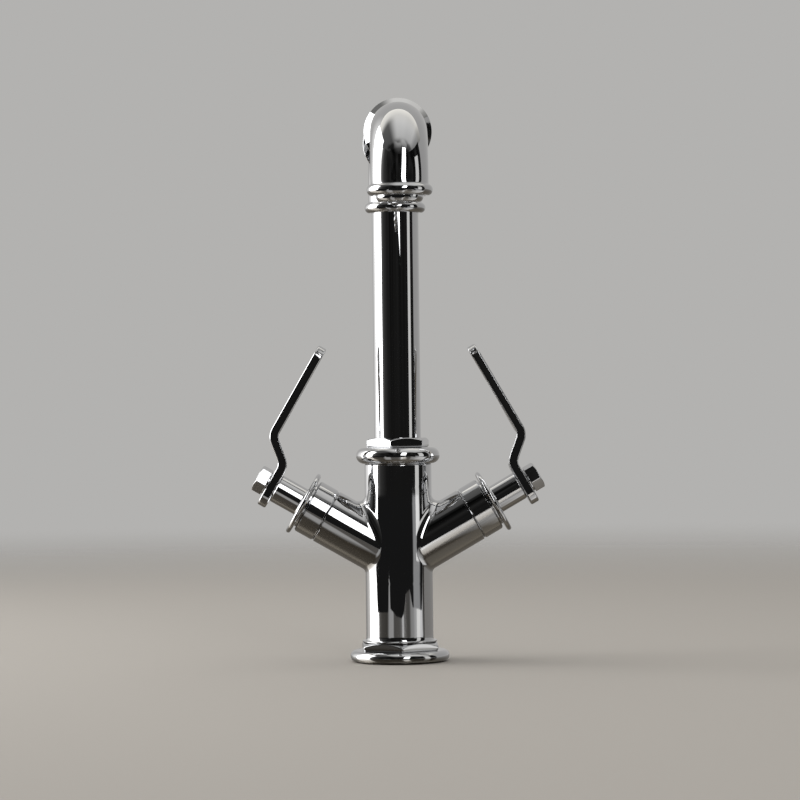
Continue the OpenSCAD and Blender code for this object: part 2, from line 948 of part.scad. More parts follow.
// The aerator's chrome housing, rounded at its lower edge and open below
module aerator_housing() {
    edge_r = 2.2;
    outer = aerator_d / 2;
    insert_r = outlet_d / 2 + 1;
    color(chrome)
        at_outlet()
            difference() {
                rotate_extrude() {
                    translate([outer - edge_r, edge_r - aerator_drop])
                        circle(r = edge_r);
                    translate([0, -aerator_drop])
                        square([outer - edge_r, aerator_drop]);
                    translate([0, edge_r - aerator_drop])
                        square([outer, aerator_drop - edge_r]);
                    square([tube_r - 0.1, aerator_inside]);
                }
                up(-aerator_drop - over)
                    cylinder(d = outlet_d, h = aerator_drop + over + aerator_inside);
                up(-aerator_drop + outlet_lip)
                    cylinder(r = insert_r, h = aerator_drop + aerator_inside);
            }
}

// The aerator's plastic screen: a thick disc with a honeycomb of holes, from the housing's lip to its top
module aerator_screen() {
    screen_h = aerator_drop - outlet_lip + aerator_inside;
    screen_r = outlet_d / 2 + 1 - thread_gap;
    pitch = screen_hole_d + 1;
    color(plastic)
        at_outlet()
            up(-aerator_drop + outlet_lip)
                difference() {
                    cylinder(r = screen_r, h = screen_h);
                    for (row = [-2:2])
                        for (col = [0:4 - abs(row)])
                            translate([(col - (4 - abs(row)) / 2) * pitch, row * pitch * sin(60), -over])
                                cylinder(d = screen_hole_d, h = screen_h + 2 * over, $fn = 24);
                }
}

// The rubber washer on top of the aerator's housing, against the shoulder in the elbow
module aerator_washer() {
    color(rubber)
        at_outlet()
            up(aerator_inside)
                pipe(tube_r - 0.1, outlet_d / 2 - 0.4, aerator_washer_t);
}

// The rubber washer pressed against the deck from below
module clamp_rubber() {
    color(rubber)
        up(-clamped_deck - clamp_rubber_t)
            pipe(clamp_d / 2, shank_r + side_gap, clamp_rubber_t);
}

// The steel washer under the rubber one
module clamp_steel() {
    color(steel)
        up(-clamped_deck - clamp_rubber_t - clamp_steel_t)
            pipe(clamp_d / 2 - 0.5, shank_r + side_gap, clamp_steel_t);
}

// The brass locknut on the shank
module locknut() {
    color(brass)
        up(-clamped_deck - clamp_rubber_t - clamp_steel_t - locknut_h)
            difference() {
                hexagon(locknut_af, locknut_h, true, true);
                up(-over)
                    cylinder(r = shank_r + turn_gap, h = locknut_h + 2 * over);
            }
}

body();
base_hexagon();
base_flange();
deck_gasket();
shank();
inlet_block();
collar_ring();
spout_nut();
thrust_washer();
seat_seal(-1);  // left_seat_seal
fixed_disc(-1);  // left_fixed_disc
cartridge(-1);  // left_cartridge
cartridge_seal(-1);  // left_cartridge_seal
bonnet(-1);  // left_bonnet
seat_seal(1);  // right_seat_seal
fixed_disc(1);  // right_fixed_disc
cartridge(1);  // right_cartridge
cartridge_seal(1);  // right_cartridge_seal
bonnet(1);  // right_bonnet
moving_disc(-1);  // left_moving_disc
spindle(-1);  // left_spindle
spindle_seals(-1);  // left_spindle_seals
spindle_clip(-1);  // left_spindle_clip
hub(-1);  // left_hub
lever(-1);  // left_lever
lever_washer(-1);  // left_lever_washer
handle_screw(-1);  // left_handle_screw
moving_disc(1);  // right_moving_disc
spindle(1);  // right_spindle
spindle_seals(1);  // right_spindle_seals
spindle_clip(1);  // right_spindle_clip
hub(1);  // right_hub
lever(1);  // right_lever
lever_washer(1);  // right_lever_washer
handle_screw(1);  // right_handle_screw
spout_end();
spout_seals();
riser();
rear_elbow();
cross_tube();
front_elbow();
aerator_housing();
aerator_screen();
aerator_washer();
clamp_rubber();
clamp_steel();
locknut();
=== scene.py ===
"""Looks of a two-handle bar faucet in polished chrome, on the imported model's frame.

Lengths are in metres. The faucet stands on its origin, +Z is up and the spout points along -Y.
Each handle has its own axis: u runs outwards along an arm from the faucet's axis.
"""

import json
import math

import bmesh
import bpy
from bpy.props import FloatProperty, FloatVectorProperty, PointerProperty
from mathutils import Matrix, Vector


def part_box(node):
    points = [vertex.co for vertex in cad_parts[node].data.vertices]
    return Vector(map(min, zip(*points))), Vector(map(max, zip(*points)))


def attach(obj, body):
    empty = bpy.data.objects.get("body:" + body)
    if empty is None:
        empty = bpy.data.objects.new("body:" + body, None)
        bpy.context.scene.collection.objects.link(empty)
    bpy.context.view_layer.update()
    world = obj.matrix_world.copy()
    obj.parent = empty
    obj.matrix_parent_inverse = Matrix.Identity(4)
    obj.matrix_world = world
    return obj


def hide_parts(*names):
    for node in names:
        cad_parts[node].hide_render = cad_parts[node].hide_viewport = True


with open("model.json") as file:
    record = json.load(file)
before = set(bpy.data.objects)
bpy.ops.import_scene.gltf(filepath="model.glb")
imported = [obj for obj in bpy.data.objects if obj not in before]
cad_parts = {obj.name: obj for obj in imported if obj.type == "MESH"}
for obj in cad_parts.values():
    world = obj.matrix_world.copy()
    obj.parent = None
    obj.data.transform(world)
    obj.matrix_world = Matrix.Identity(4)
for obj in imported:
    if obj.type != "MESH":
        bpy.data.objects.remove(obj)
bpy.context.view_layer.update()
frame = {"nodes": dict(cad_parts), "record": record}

bl_info = {
    "name": "Bar Faucet",
    "version": (1, 0, 0),
    "blender": (4, 5, 0),
    "location": "View3D > Sidebar > Faucet",
    "description": "Builds a two-handle bar faucet with its finishes and studio",
    "category": "Object",
}

SIDES = {"left": -1, "right": 1}
TURN = 2 * math.pi
LATHE_STEPS = 144
SHARP_ANGLE = math.radians(34)
FIT = 0.00005  # the gap round a piece that sits in another one's bore
NUT_FIT = 0.00006  # the gap inside a nut
NUT_LEAN = 0.0008  # the height over which a nut's sides lean in at its foot
OVERLAP = 0.0003  # how far a spigot runs into the head that it carries


# Sizes and colours


def length_setting(name, description, default, low, high):
    """A length that a user may change, in metres."""
    return FloatProperty(name=name, description=description, default=default, min=low, max=high,
                         unit="LENGTH")


def angle_setting(name, description, degrees):
    """An angle that a user may change, given in degrees."""
    return FloatProperty(name=name, description=description, default=math.radians(degrees),
                         subtype="ANGLE", unit="ROTATION")


def colour_setting(name, description, *default):
    """A colour that a user may change."""
    return FloatVectorProperty(name=name, description=description, default=default, min=0, max=1,
                               subtype="COLOR")


class FaucetBase(bpy.types.PropertyGroup):
    """Sizes of the base flange, the hexagon on it and what is under the deck."""

    flange_r: length_setting("Flange radius", "Outer radius of the base flange", 0.0254, 0.02, 0.04)
    flange_h: length_setting("Flange height", "Height of the base flange", 0.0059, 0.003, 0.01)
    hex_af: length_setting("Hexagon width", "Width across the base hexagon's flats", 0.038, 0.03, 0.05)
    hex_h: length_setting("Hexagon height", "Height of the base hexagon", 0.0043, 0.002, 0.01)
    hex_turn: angle_setting("Hexagon turn", "Turn of the base hexagon's corners", 2)
    spigot_r: length_setting("Spigot radius", "Radius of the spigot in the deck hole", 0.017, 0.01, 0.02)
    shank_r: length_setting("Shank radius", "Outer radius of the shank's thread", 0.014, 0.01, 0.02)
    shank_bore_r: length_setting("Shank bore", "Radius of the shank's bore", 0.012, 0.008, 0.013)
    thread_pitch: length_setting("Thread pitch", "Pitch of the shank's thread", 0.002, 0.001, 0.003)
    thread_depth: length_setting("Thread depth", "Depth of the shank's thread", 0.0008, 0.0003, 0.0015)
    locknut_af: length_setting("Locknut width", "Width across the locknut's flats", 0.036, 0.03, 0.05)


class FaucetBody(bpy.types.PropertyGroup):
    """Sizes of the cast body, its arms and the spout's joint on top of it."""

    barrel_r: length_setting("Barrel radius", "Radius of the body's barrel", 0.01725, 0.012, 0.025)
    foot_r: length_setting("Foot radius", "Radius of the body's foot", 0.0191, 0.015, 0.025)
    foot_lip_h: length_setting("Foot lip", "Height of the foot's straight lip", 0.0006, 0.0002, 0.002)
    foot_flare_h: length_setting("Foot flare", "Height of the foot's hollow flare", 0.006, 0.002, 0.01)
    arm_z: length_setting("Arm height", "Height where the arms' axes meet", 0.0534, 0.04, 0.08)
    arm_slope: angle_setting("Arm slope", "Slope of the arms above the horizontal", 30)
    arm_r: length_setting("Arm radius", "Radius of the arms and their bonnets", 0.01435, 0.01, 0.02)
    arm_len: length_setting("Arm length", "Distance from the faucet's axis to an arm's end",
                            0.0431, 0.03, 0.06)
    fillet_r: length_setting("Arm fillet", "Radius of the fillet where an arm leaves the barrel",
                             0.003, 0.001, 0.006)
    groove: length_setting("Groove chamfer", "Chamfer on each side of the groove at the bonnet",
                           0.0007, 0.0003, 0.0015)
    cartridge_bore_r: length_setting("Cartridge bore", "Radius of an arm's bore", 0.0106, 0.008, 0.012)
    nut_af: length_setting("Spout nut width", "Width across the spout nut's flats", 0.0292, 0.026, 0.036)
    nut_turn: angle_setting("Spout nut turn", "Turn of the spout nut's corners", -13)


class FaucetHandle(bpy.types.PropertyGroup):
    """Sizes of a handle along its own axis."""

    bonnet_end: length_setting("Bonnet end", "Distance from the faucet's axis to the bonnet's face",
                               0.0538, 0.04, 0.07)
    neck_r: length_setting("Neck radius", "Radius of the bonnet's neck", 0.0124, 0.01, 0.0135)
    disc_r: length_setting("Flange radius", "Radius of the handle's round flange", 0.0171, 0.014, 0.02)
    disc_w: length_setting("Flange width", "Thickness of the handle's round flange", 0.0025, 0.001, 0.004)
    hub_gap: length_setting("Hub gap", "Gap between the bonnet and the flange", 0.0011, 0.0005, 0.002)
    hub_len: length_setting("Hub length", "Length of the hub between its flange and the lever",
                            0.0147, 0.01, 0.02)
    hub_r: length_setting("Hub radius", "Radius of the handle's hub", 0.0074, 0.006, 0.009)
    lever_t: length_setting("Lever thickness", "Thickness of the lever's bar", 0.00476, 0.003, 0.007)
    lever_w: length_setting("Lever width", "Width of the lever's bar", 0.0127, 0.01, 0.016)
    lever_up: length_setting("Lever length", "Length of the lever above the hub's axis",
                             0.0745, 0.05, 0.1)
    lever_down: length_setting("Lever tail", "Length of the lever below the hub's axis",
                               0.0118, 0.008, 0.02)
    lever_offset: length_setting("Lever offset", "Distance that the bend carries the lever out",
                                 0.0122, 0.005, 0.02)
    lever_straight: length_setting("Lever straight", "Height above the hub's axis where the bend starts",
                                   0.009, 0.006, 0.015)
    lever_bend: angle_setting("Lever bend", "Slope of the bar between its two bends", 50)
    lever_bend_r: length_setting("Bend radius", "Radius of each bend at the bar's middle",
                                 0.007, 0.004, 0.012)
    edge_r: length_setting("Lever edge", "Rounding of the lever's long edges", 0.0009, 0.0002, 0.0015)
    screw_af: length_setting("Screw width", "Width across the flats of the screw's head",
                             0.0127, 0.01, 0.015)
    screw_head_h: length_setting("Screw head", "Height of the screw's head", 0.0057, 0.004, 0.008)
    screw_turn: angle_setting("Screw turn", "Turn of the screws' corners", 12)
    washer_t: length_setting("Washer thickness", "Thickness of the screw's washer", 0.0008, 0.0004, 0.002)
    screw_hole_r: length_setting("Screw hole", "Radius of the hole for the screw", 0.0025, 0.002, 0.003)


class FaucetSpout(bpy.types.PropertyGroup):
    """Sizes of the spout's tubes, elbows and outlet."""

    tube_r: length_setting("Tube radius", "Outer radius of the riser and the cross tube",
                           0.012, 0.008, 0.016)
    bore_r: length_setting("Tube bore", "Radius of the tubes' bore", 0.0104, 0.007, 0.014)
    level_z: length_setting("Spout height", "Height of the spout's level axis", 0.2624, 0.2, 0.35)
    reach: length_setting("Reach", "Distance from the faucet's axis to the outlet's axis",
                          0.127, 0.09, 0.2)
    elbow_r: length_setting("Elbow radius", "Outer radius of the elbows", 0.0137, 0.01, 0.018)
    bend_r: length_setting("Bend radius", "Radius of the elbows' bend at the pipe's middle",
                           0.024, 0.015, 0.04)
    leg_len: length_setting("Leg length", "Length of an elbow's upright leg", 0.0088, 0.005, 0.02)
    level_len: length_setting("Level length", "Length of an elbow's level leg", 0.0066, 0.005, 0.02)
    bead_r: length_setting("Bead radius", "Radius of the bead on the upright leg", 0.0157, 0.012, 0.02)
    bead_w: length_setting("Bead width", "Width of the bead on the upright leg", 0.0054, 0.002, 0.007)
    collar_r: length_setting("Collar radius", "Radius of the collar on the level leg",
                             0.0163, 0.012, 0.02)
    collar_w: length_setting("Collar width", "Width of the collar on the level leg", 0.0049, 0.002, 0.006)
    collar_slope: length_setting("Collar slope", "Width of the slope on the collar's front",
                                 0.0037, 0.002, 0.004)
    socket: length_setting("Socket depth", "Depth of the socket in each end of an elbow",
                           0.006, 0.004, 0.008)
    outlet_r: length_setting("Outlet radius", "Radius of the aerator's outlet", 0.0084, 0.006, 0.01)
    housing_r: length_setting("Housing radius", "Radius of the aerator's housing", 0.0113, 0.009, 0.013)


class FaucetFinish(bpy.types.PropertyGroup):
    """Colours of the finishes, and the chrome's roughness."""

    chrome: colour_setting("Chrome", "Colour of the polished chrome", 0.64, 0.645, 0.655)
    chrome_roughness: FloatProperty(name="Chrome roughness", description="Roughness of clean chrome",
                                    default=0.018, min=0, max=0.3, subtype="FACTOR")
    brass: colour_setting("Brass", "Colour of the turned brass", 0.74, 0.54, 0.25)
    steel: colour_setting("Steel", "Colour of the stainless steel", 0.55, 0.55, 0.54)
    rubber: colour_setting("Rubber", "Colour of the seals", 0.018, 0.018, 0.02)
    ceramic: colour_setting("Ceramic", "Colour of the ceramic discs", 0.86, 0.85, 0.81)
    plastic: colour_setting("Plastic", "Colour of the aerator's screen", 0.62, 0.62, 0.6)


class FaucetStudio(bpy.types.PropertyGroup):
    """The camera, the floor, the backdrop and the deck that the chrome reflects."""

    distance: length_setting("Camera distance", "Distance from the camera to the faucet's axis",
                             1.494, 0.3, 5)
    height: length_setting("Camera height", "Height of the camera above the deck", 0.1338, 0, 2)
    sideways: length_setting("Camera shift", "Shift of the camera to the right", 0.00144, 0, 0.1)
    azimuth: angle_setting("Camera azimuth", "Angle of the camera from the spout's direction", -1.08)
    roll: angle_setting("Camera roll", "Roll of the camera about its own line of sight", 0.65)
    lens: FloatProperty(name="Lens", description="Focal length of the camera's lens in millimetres",
                        default=131.1, min=20, max=300)
    floor: colour_setting("Floor", "Colour of the floor", 0.47, 0.44, 0.4)
    backdrop: colour_setting("Backdrop", "Colour of the backdrop", 0.45, 0.445, 0.435)
    deck: colour_setting("Deck", "Colour of the deck that the chrome reflects", 0.06, 0.05, 0.037)
    deck_edge: length_setting("Deck edge", "Distance from the faucet's axis to the deck's edge at its sides",
                              0.37, 0.1, 2)


SETTINGS = {
    "faucet_base": FaucetBase,
    "faucet_body": FaucetBody,
    "faucet_handle": FaucetHandle,
    "faucet_spout": FaucetSpout,
    "faucet_finish": FaucetFinish,
    "faucet_studio": FaucetStudio,
}


# Finishes


def set_inputs(node, inputs):
    """Sets a node's inputs to values, or links them to sockets."""
    for name, value in inputs.items():
        if isinstance(value, bpy.types.NodeSocket):
            node.id_data.links.new(value, node.inputs[name])
        else:
            node.inputs[name].default_value = value


def add_node(tree, kind, inputs=None, **values):
    """A new node with its properties set, and its inputs set or linked."""
    node = tree.nodes.new(kind)
    for name, value in values.items():
        setattr(node, name, value)
    set_inputs(node, inputs or {})
    return node


def calculate(tree, operation, *inputs):
    """The result of a Math node."""
    return add_node(tree, "ShaderNodeMath", dict(enumerate(inputs)), operation=operation).outputs[0]


def remap(tree, value, low, high, start=0.0, end=1.0, soft=False):
    """A value that goes from start to end while another goes from low to high."""
    inputs = {"Value": value, "From Min": low, "From Max": high, "To Min": start, "To Max": end}
    kind = "SMOOTHSTEP" if soft else "LINEAR"
    return add_node(tree, "ShaderNodeMapRange", inputs, interpolation_type=kind).outputs["Result"]


def noise(tree, place, scale, detail, roughness=0.5):
    """The value of a noise at a place."""
    inputs = {"Vector": place, "Scale": scale, "Detail": detail, "Roughness": roughness}
    return add_node(tree, "ShaderNodeTexNoise", inputs).outputs["Fac"]


def bump(tree, height, strength, distance):
    """The normal of a surface that a height roughens."""
    inputs = {"Height": height, "Strength": strength, "Distance": distance}
    return add_node(tree, "ShaderNodeBump", inputs).outputs["Normal"]


def mix_colours(tree, share, first, second, blend="MIX"):
    """The first colour where the share is 0, and its blend with the second where it is 1."""
    inputs = {0: share, 6: first, 7: second}
    return add_node(tree, "ShaderNodeMix", inputs, data_type="RGBA", blend_type=blend).outputs[2]


def tone(tree, variation, colour, dark, light):
    """A colour that varies between a darker and a lighter share of itself."""
    shades = [(*[min(1, c * share) for c in colour], 1) for share in (dark, light)]
    return mix_colours(tree, variation, *shades)


def start_group(name, vectors, scales, outputs):
    """A new shader group, and the sockets of its inputs: vectors, and scales with their defaults."""
    group = bpy.data.node_groups.new(name, "ShaderNodeTree")
    for vector in vectors:
        group.interface.new_socket(name=vector, in_out="INPUT", socket_type="NodeSocketVector")
    for scale, default in scales.items():
        socket = group.interface.new_socket(name=scale, in_out="INPUT", socket_type="NodeSocketFloat")
        socket.default_value = default
    for output in outputs:
        group.interface.new_socket(name=output, in_out="OUTPUT", socket_type="NodeSocketFloat")
    return group, group.nodes.new("NodeGroupInput").outputs


def handling_marks():
    """The shader group for faint smears and fine scratches; its outputs are masks from 0 to 1."""
    found = bpy.data.node_groups.get("Handling_marks")
    if found:
        return found
    group, enter = start_group("Handling_marks", ("Vector",), {"Smear Scale": 45.0, "Scratch Scale": 900.0},
                               ("Smears", "Scratches"))
    smear = noise(group, enter["Vector"], enter["Smear Scale"], 3.0, 0.55)
    stretch = add_node(group, "ShaderNodeMapping", {"Vector": enter["Vector"], "Scale": (1.0, 0.06, 0.35),
                                                    "Rotation": (0.3, 0.2, 0.7)})
    scratch = noise(group, stretch.outputs["Vector"], enter["Scratch Scale"], 2.0, 0.7)
    add_node(group, "NodeGroupOutput", {"Smears": remap(group, smear, 0.46, 0.72),
                                        "Scratches": remap(group, scratch, 0.6, 0.78)})
    return group


def grain():
    """The shader group for a fine surface grain; it puts out a height and a mask of colour variation."""
    found = bpy.data.node_groups.get("Surface_grain")
    if found:
        return found
    group, enter = start_group("Surface_grain", ("Vector", "Stretch"), {"Scale": 1500.0},
                               ("Height", "Variation"))
    stretch = add_node(group, "ShaderNodeVectorMath", {0: enter["Vector"], 1: enter["Stretch"]},
                       operation="MULTIPLY")
    height = noise(group, stretch.outputs[0], enter["Scale"], 4.0, 0.6)
    variation = noise(group, enter["Vector"], 60.0, 2.0)
    add_node(group, "NodeGroupOutput", {"Height": height, "Variation": variation})
    return group


def place_group(tree, group, inputs):
    """The outputs of a shader group in a material."""
    return add_node(tree, "ShaderNodeGroup", inputs, node_tree=group).outputs


def start_material(name):
    """A new material with its tree, its shader and its Object coordinates."""
    material = bpy.data.materials.new(name)
    material.use_nodes = True
    tree = material.node_tree
    shader = tree.nodes["Principled BSDF"]
    return material, tree, shader, tree.nodes.new("ShaderNodeTexCoord").outputs["Object"]


def chrome(name, finish, waviness):
    """Polished chrome plate with faint smears and hairlines; waviness is that of the metal below."""
    material, tree, shader, place = start_material(name)
    marks = place_group(tree, handling_marks(), {"Vector": place, "Smear Scale": 38.0,
                                                 "Scratch Scale": 1100.0})
    smears = calculate(tree, "MULTIPLY_ADD", marks["Smears"], 0.028, finish.chrome_roughness)
    scratches = calculate(tree, "MULTIPLY_ADD", marks["Scratches"], 0.02, smears)
    set_inputs(shader, {"Base Color": (*finish.chrome, 1), "Metallic": 1, "Roughness": scratches,
                        "Normal": bump(tree, noise(tree, place, 70.0, 1.0), 1.0, waviness)})
    return material


def machined(name, finish, colour, roughness, stretch):
    """A bare metal with the fine marks of the tool that cut it."""
    material, tree, shader, place = start_material(name)
    marks = place_group(tree, handling_marks(), {"Vector": place, "Smear Scale": 60.0,
                                                 "Scratch Scale": 700.0})
    cut = place_group(tree, grain(), {"Vector": place, "Scale": 1800.0, "Stretch": stretch})
    set_inputs(shader, {"Base Color": tone(tree, cut["Variation"], getattr(finish, colour), 0.82, 1.1),
                        "Metallic": 1,
                        "Roughness": calculate(tree, "MULTIPLY_ADD", marks["Smears"], 0.12, roughness),
                        "Normal": bump(tree, cut["Height"], 0.35, 0.00004)})
    return material


def moulded(name, finish, colour, roughness, depth):
    """A moulded or fired surface, such as rubber, plastic or ceramic."""
    material, tree, shader, place = start_material(name)
    skin = place_group(tree, grain(), {"Vector": place, "Scale": 1500.0, "Stretch": (1, 1, 1)})
    set_inputs(shader, {"Base Color": tone(tree, skin["Variation"], getattr(finish, colour), 0.85, 1.12),
                        "Roughness": roughness, "Normal": bump(tree, skin["Height"], 0.5, depth)})
    return material


# Each of the record's slots, and the chrome of cast pieces: the material's name, and how it is made
FINISHES = {
    "polished_chrome": ("Polished_chrome", chrome, 0.000002),
    "cast_chrome": ("Chrome_on_casting", chrome, 0.000012),
    "turned_brass": ("Turned_brass", machined, "brass", 0.2, (1, 1, 12)),
    "stainless_steel": ("Stainless_steel", machined, "steel", 0.26, (1, 14, 1)),
    "black_rubber": ("Black_rubber", moulded, "rubber", 0.62, 0.00006),
    "white_ceramic": ("White_ceramic", moulded, "ceramic", 0.16, 0.000006),
    "pale_plastic": ("Pale_plastic", moulded, "plastic", 0.4, 0.00002),
}


def finish_material(finish):
    """The material of a finish, made when it is first asked for."""
    name, make, *values = FINISHES[finish]
    return bpy.data.materials.get(name) or make(name, bpy.context.scene.faucet_finish, *values)


# Shapes


def arc(centre_r, centre_z, radius, start, end, count):
    """Points of an arc in a profile; the angles are in degrees from the radius outwards."""
    angles = [math.radians(start + (end - start) * i / count) for i in range(count + 1)]
    return [(centre_r + radius * math.cos(a), centre_z + radius * math.sin(a)) for a in angles]


def round_corners(bm, points, verts, closed):
    """Rounds the corners of a profile whose points have a third value, the radius."""
    count = len(points)
    for i, point in enumerate(points):
        if len(point) < 3 or not (closed or 0 < i < count - 1):
            continue
        here = Vector(point[:2])
        arrive = here - Vector(points[i - 1][:2])
        leave = Vector(points[(i + 1) % count][:2]) - here
        corner = arrive.angle(leave)
        bmesh.ops.bevel(bm, geom=[verts[i]], offset=point[2] * math.tan(corner / 2), offset_type="OFFSET",
                        segments=max(3, round(math.degrees(corner) / 11)), profile=0.5, affect="VERTICES",
                        material=-1, clamp_overlap=False)


def add_mesh(bm, part, place=None):
    """Adds one bmesh to another at a place, and frees it."""
    mesh = bpy.data.meshes.new("part")
    part.to_mesh(mesh)
    part.free()
    if place is not None:
        mesh.transform(place)
    bm.from_mesh(mesh)
    bpy.data.meshes.remove(mesh)


def lathe(bm, points, closed=True, place=None, steps=LATHE_STEPS):
    """Turns a profile of (radius, height) points about the upright axis."""
    part = bmesh.new()
    verts = [part.verts.new((p[0], 0, p[1])) for p in points]
    for a, b in zip(verts, verts[1:] + (verts[:1] if closed else [])):
        part.edges.new((a, b))
    round_corners(part, points, verts, closed)
    bmesh.ops.spin(part, geom=part.verts[:] + part.edges[:], cent=(0, 0, 0), axis=(0, 0, 1), angle=TURN,
                   steps=steps, use_merge=True)
    bmesh.ops.remove_doubles(part, verts=part.verts, dist=1e-7)
    add_mesh(bm, part, place)


def next_loop(bm, edges, places):
    """Extrudes a loop of edges once, and puts each new vertex where places says for its number."""
    made = bmesh.ops.extrude_edge_only(bm, edges=edges)["geom"]
    number = bm.verts.layers.int["number"]
    for item in made:
        if isinstance(item, bmesh.types.BMVert):
            item.co = places(item[number])
    return [item for item in made if isinstance(item, bmesh.types.BMEdge) and not item.link_faces[1:]]


def first_loop(bm, count, places):
    """A closed loop of numbered vertices to extrude from."""
    number = bm.verts.layers.int.new("number")
    ring = bmesh.ops.create_circle(bm, segments=count, radius=1)["verts"]
    for i, vert in enumerate(ring):
        vert[number] = i
        vert.co = places(i)
    return list({edge for vert in ring for edge in vert.link_edges})


def hexagon_reach(angle, flats):
    """Distance from a hexagon's middle to its side in one direction; it has a corner at the front."""
    return flats / 2 / math.cos((angle + math.pi / 6) % (math.pi / 3) - math.pi / 6)


def hexagon(bm, flats, height, bore, top=True, bottom=False, under=0.0, place=None, edge_r=0.00018):
    """A nut or a screw's head, whose corners are turned off to a cone at the top and bottom.

    Its sides may lean in below, over the height called under.
    """
    part = bmesh.new()
    count, cone_slope = 120, math.radians(30)
    flat_r = flats / 2 * 0.97  # where the cone starts

    def ring(radius, z):
        def at(i):
            angle = TURN * i / count
            return Vector((radius * math.cos(angle), radius * math.sin(angle), z))
        return at

    def side(z, rise, narrower=0.0):
        def at(i):
            angle = TURN * i / count
            reach = hexagon_reach(angle, flats - narrower)
            fall = (reach - flat_r) * math.tan(cone_slope) * rise
            return Vector((reach * math.cos(angle), reach * math.sin(angle), z - fall))
        return at

    start = first_loop(part, count, ring(bore, 0))
    loop = start
    if bottom:
        loop = next_loop(part, loop, ring(flat_r, 0))
    if under:
        loop = next_loop(part, loop, side(0, 0, under * 0.9))
        loop = next_loop(part, loop, side(under, 0))
    else:
        loop = next_loop(part, loop, side(0, -1 if bottom else 0))
    upper = next_loop(part, loop, side(height, 1 if top else 0))
    loop = next_loop(part, upper, ring(flat_r, height)) if top else upper
    loop = next_loop(part, loop, ring(bore, height))
    if bore > 1e-5:
        bmesh.ops.bridge_loops(part, edges=start + loop)
    bmesh.ops.remove_doubles(part, verts=part.verts, dist=1e-7)
    bmesh.ops.recalc_face_normals(part, faces=part.faces)
    corners = [e for e in part.edges if e.is_manifold and e.calc_face_angle() > math.radians(50)
               and abs(e.verts[0].co.z - e.verts[1].co.z) > height / 3
               and e.verts[0].co.xy.length > flats * 0.52]
    rims = [e for e in part.edges if e.is_manifold and e not in corners
            and e.calc_face_angle() > math.radians(15)
            and min(v.co.xy.length for v in e.verts) > flat_r * 1.005]
    bmesh.ops.bevel(part, geom=corners + rims, offset=edge_r, offset_type="OFFSET", segments=2, profile=0.5,
                    affect="EDGES", material=-1, clamp_overlap=True)
    add_mesh(bm, part, place)


def arm_place(side, u=0.0):
    """The place on an arm's axis at the distance u, with local +Z outwards along the arm."""
    body = bpy.context.scene.faucet_body
    return (Matrix.Diagonal((side, 1, 1, 1)) @ Matrix.Translation((0, 0, body.arm_z))
            @ Matrix.Rotation(math.pi / 2 - body.arm_slope, 4, "Y") @ Matrix.Translation((0, 0, u)))


def finish_piece(name, bm, body, node, finish="polished_chrome"):
    """Makes a bmesh a piece that rides on a body, stands for a CAD node and has its finish's slot."""
    bmesh.ops.remove_doubles(bm, verts=bm.verts, dist=1e-7)
    bmesh.ops.recalc_face_normals(bm, faces=bm.faces)
    for face in bm.faces:
        face.smooth = True
    for edge in bm.edges:
        edge.smooth = not (edge.is_manifold and edge.calc_face_angle() > SHARP_ANGLE)
    mesh = bpy.data.meshes.new(name)
    bm.to_mesh(mesh)
    bm.free()
    mesh.materials.append(finish_material(finish))
    piece = bpy.data.objects.new(name, mesh)
    bpy.context.scene.collection.objects.link(piece)
    normals = piece.modifiers.new("Weighted_normals", "WEIGHTED_NORMAL")
    normals.mode = "FACE_AREA"
    normals.weight = 50
    normals.keep_sharp = True
    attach(piece, body)
    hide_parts(node)


# Pieces


class BuildPiece:
    """Common settings of the faucet's operators."""

    bl_options = {"REGISTER", "UNDO"}


class FAUCET_OT_base(BuildPiece, bpy.types.Operator):
    """Build the round base flange and the hexagon on it"""

    bl_idname = "faucet.base"
    bl_label = "Base flange and hexagon"

    def execute(self, context):
        sizes = context.scene.faucet_base
        rim_r = sizes.flange_h / 2
        rim_c = sizes.flange_r - rim_r
        bore = sizes.shank_r + FIT
        recess_h, recess_wall = 0.0015, 0.001
        recess_in, recess_out = sizes.spigot_r + recess_wall, rim_c - recess_wall
        flange = bmesh.new()
        lathe(flange, [(bore, 0), (recess_in, 0), (recess_in, recess_h), (recess_out, recess_h),
                       (recess_out, 0)]
              + arc(rim_c, rim_r, rim_r, -90, 90, 28) + [(bore, sizes.flange_h)])
        finish_piece("Base_flange", flange, "faucet_body", "base_flange")
        nut = bmesh.new()
        place = Matrix.Translation((0, 0, sizes.flange_h)) @ Matrix.Rotation(sizes.hex_turn, 4, "Z")
        hexagon(nut, sizes.hex_af, sizes.hex_h, bore, under=NUT_LEAN, place=place, edge_r=0.0003)
        finish_piece("Base_hexagon", nut, "faucet_body", "base_hexagon")
        return {"FINISHED"}


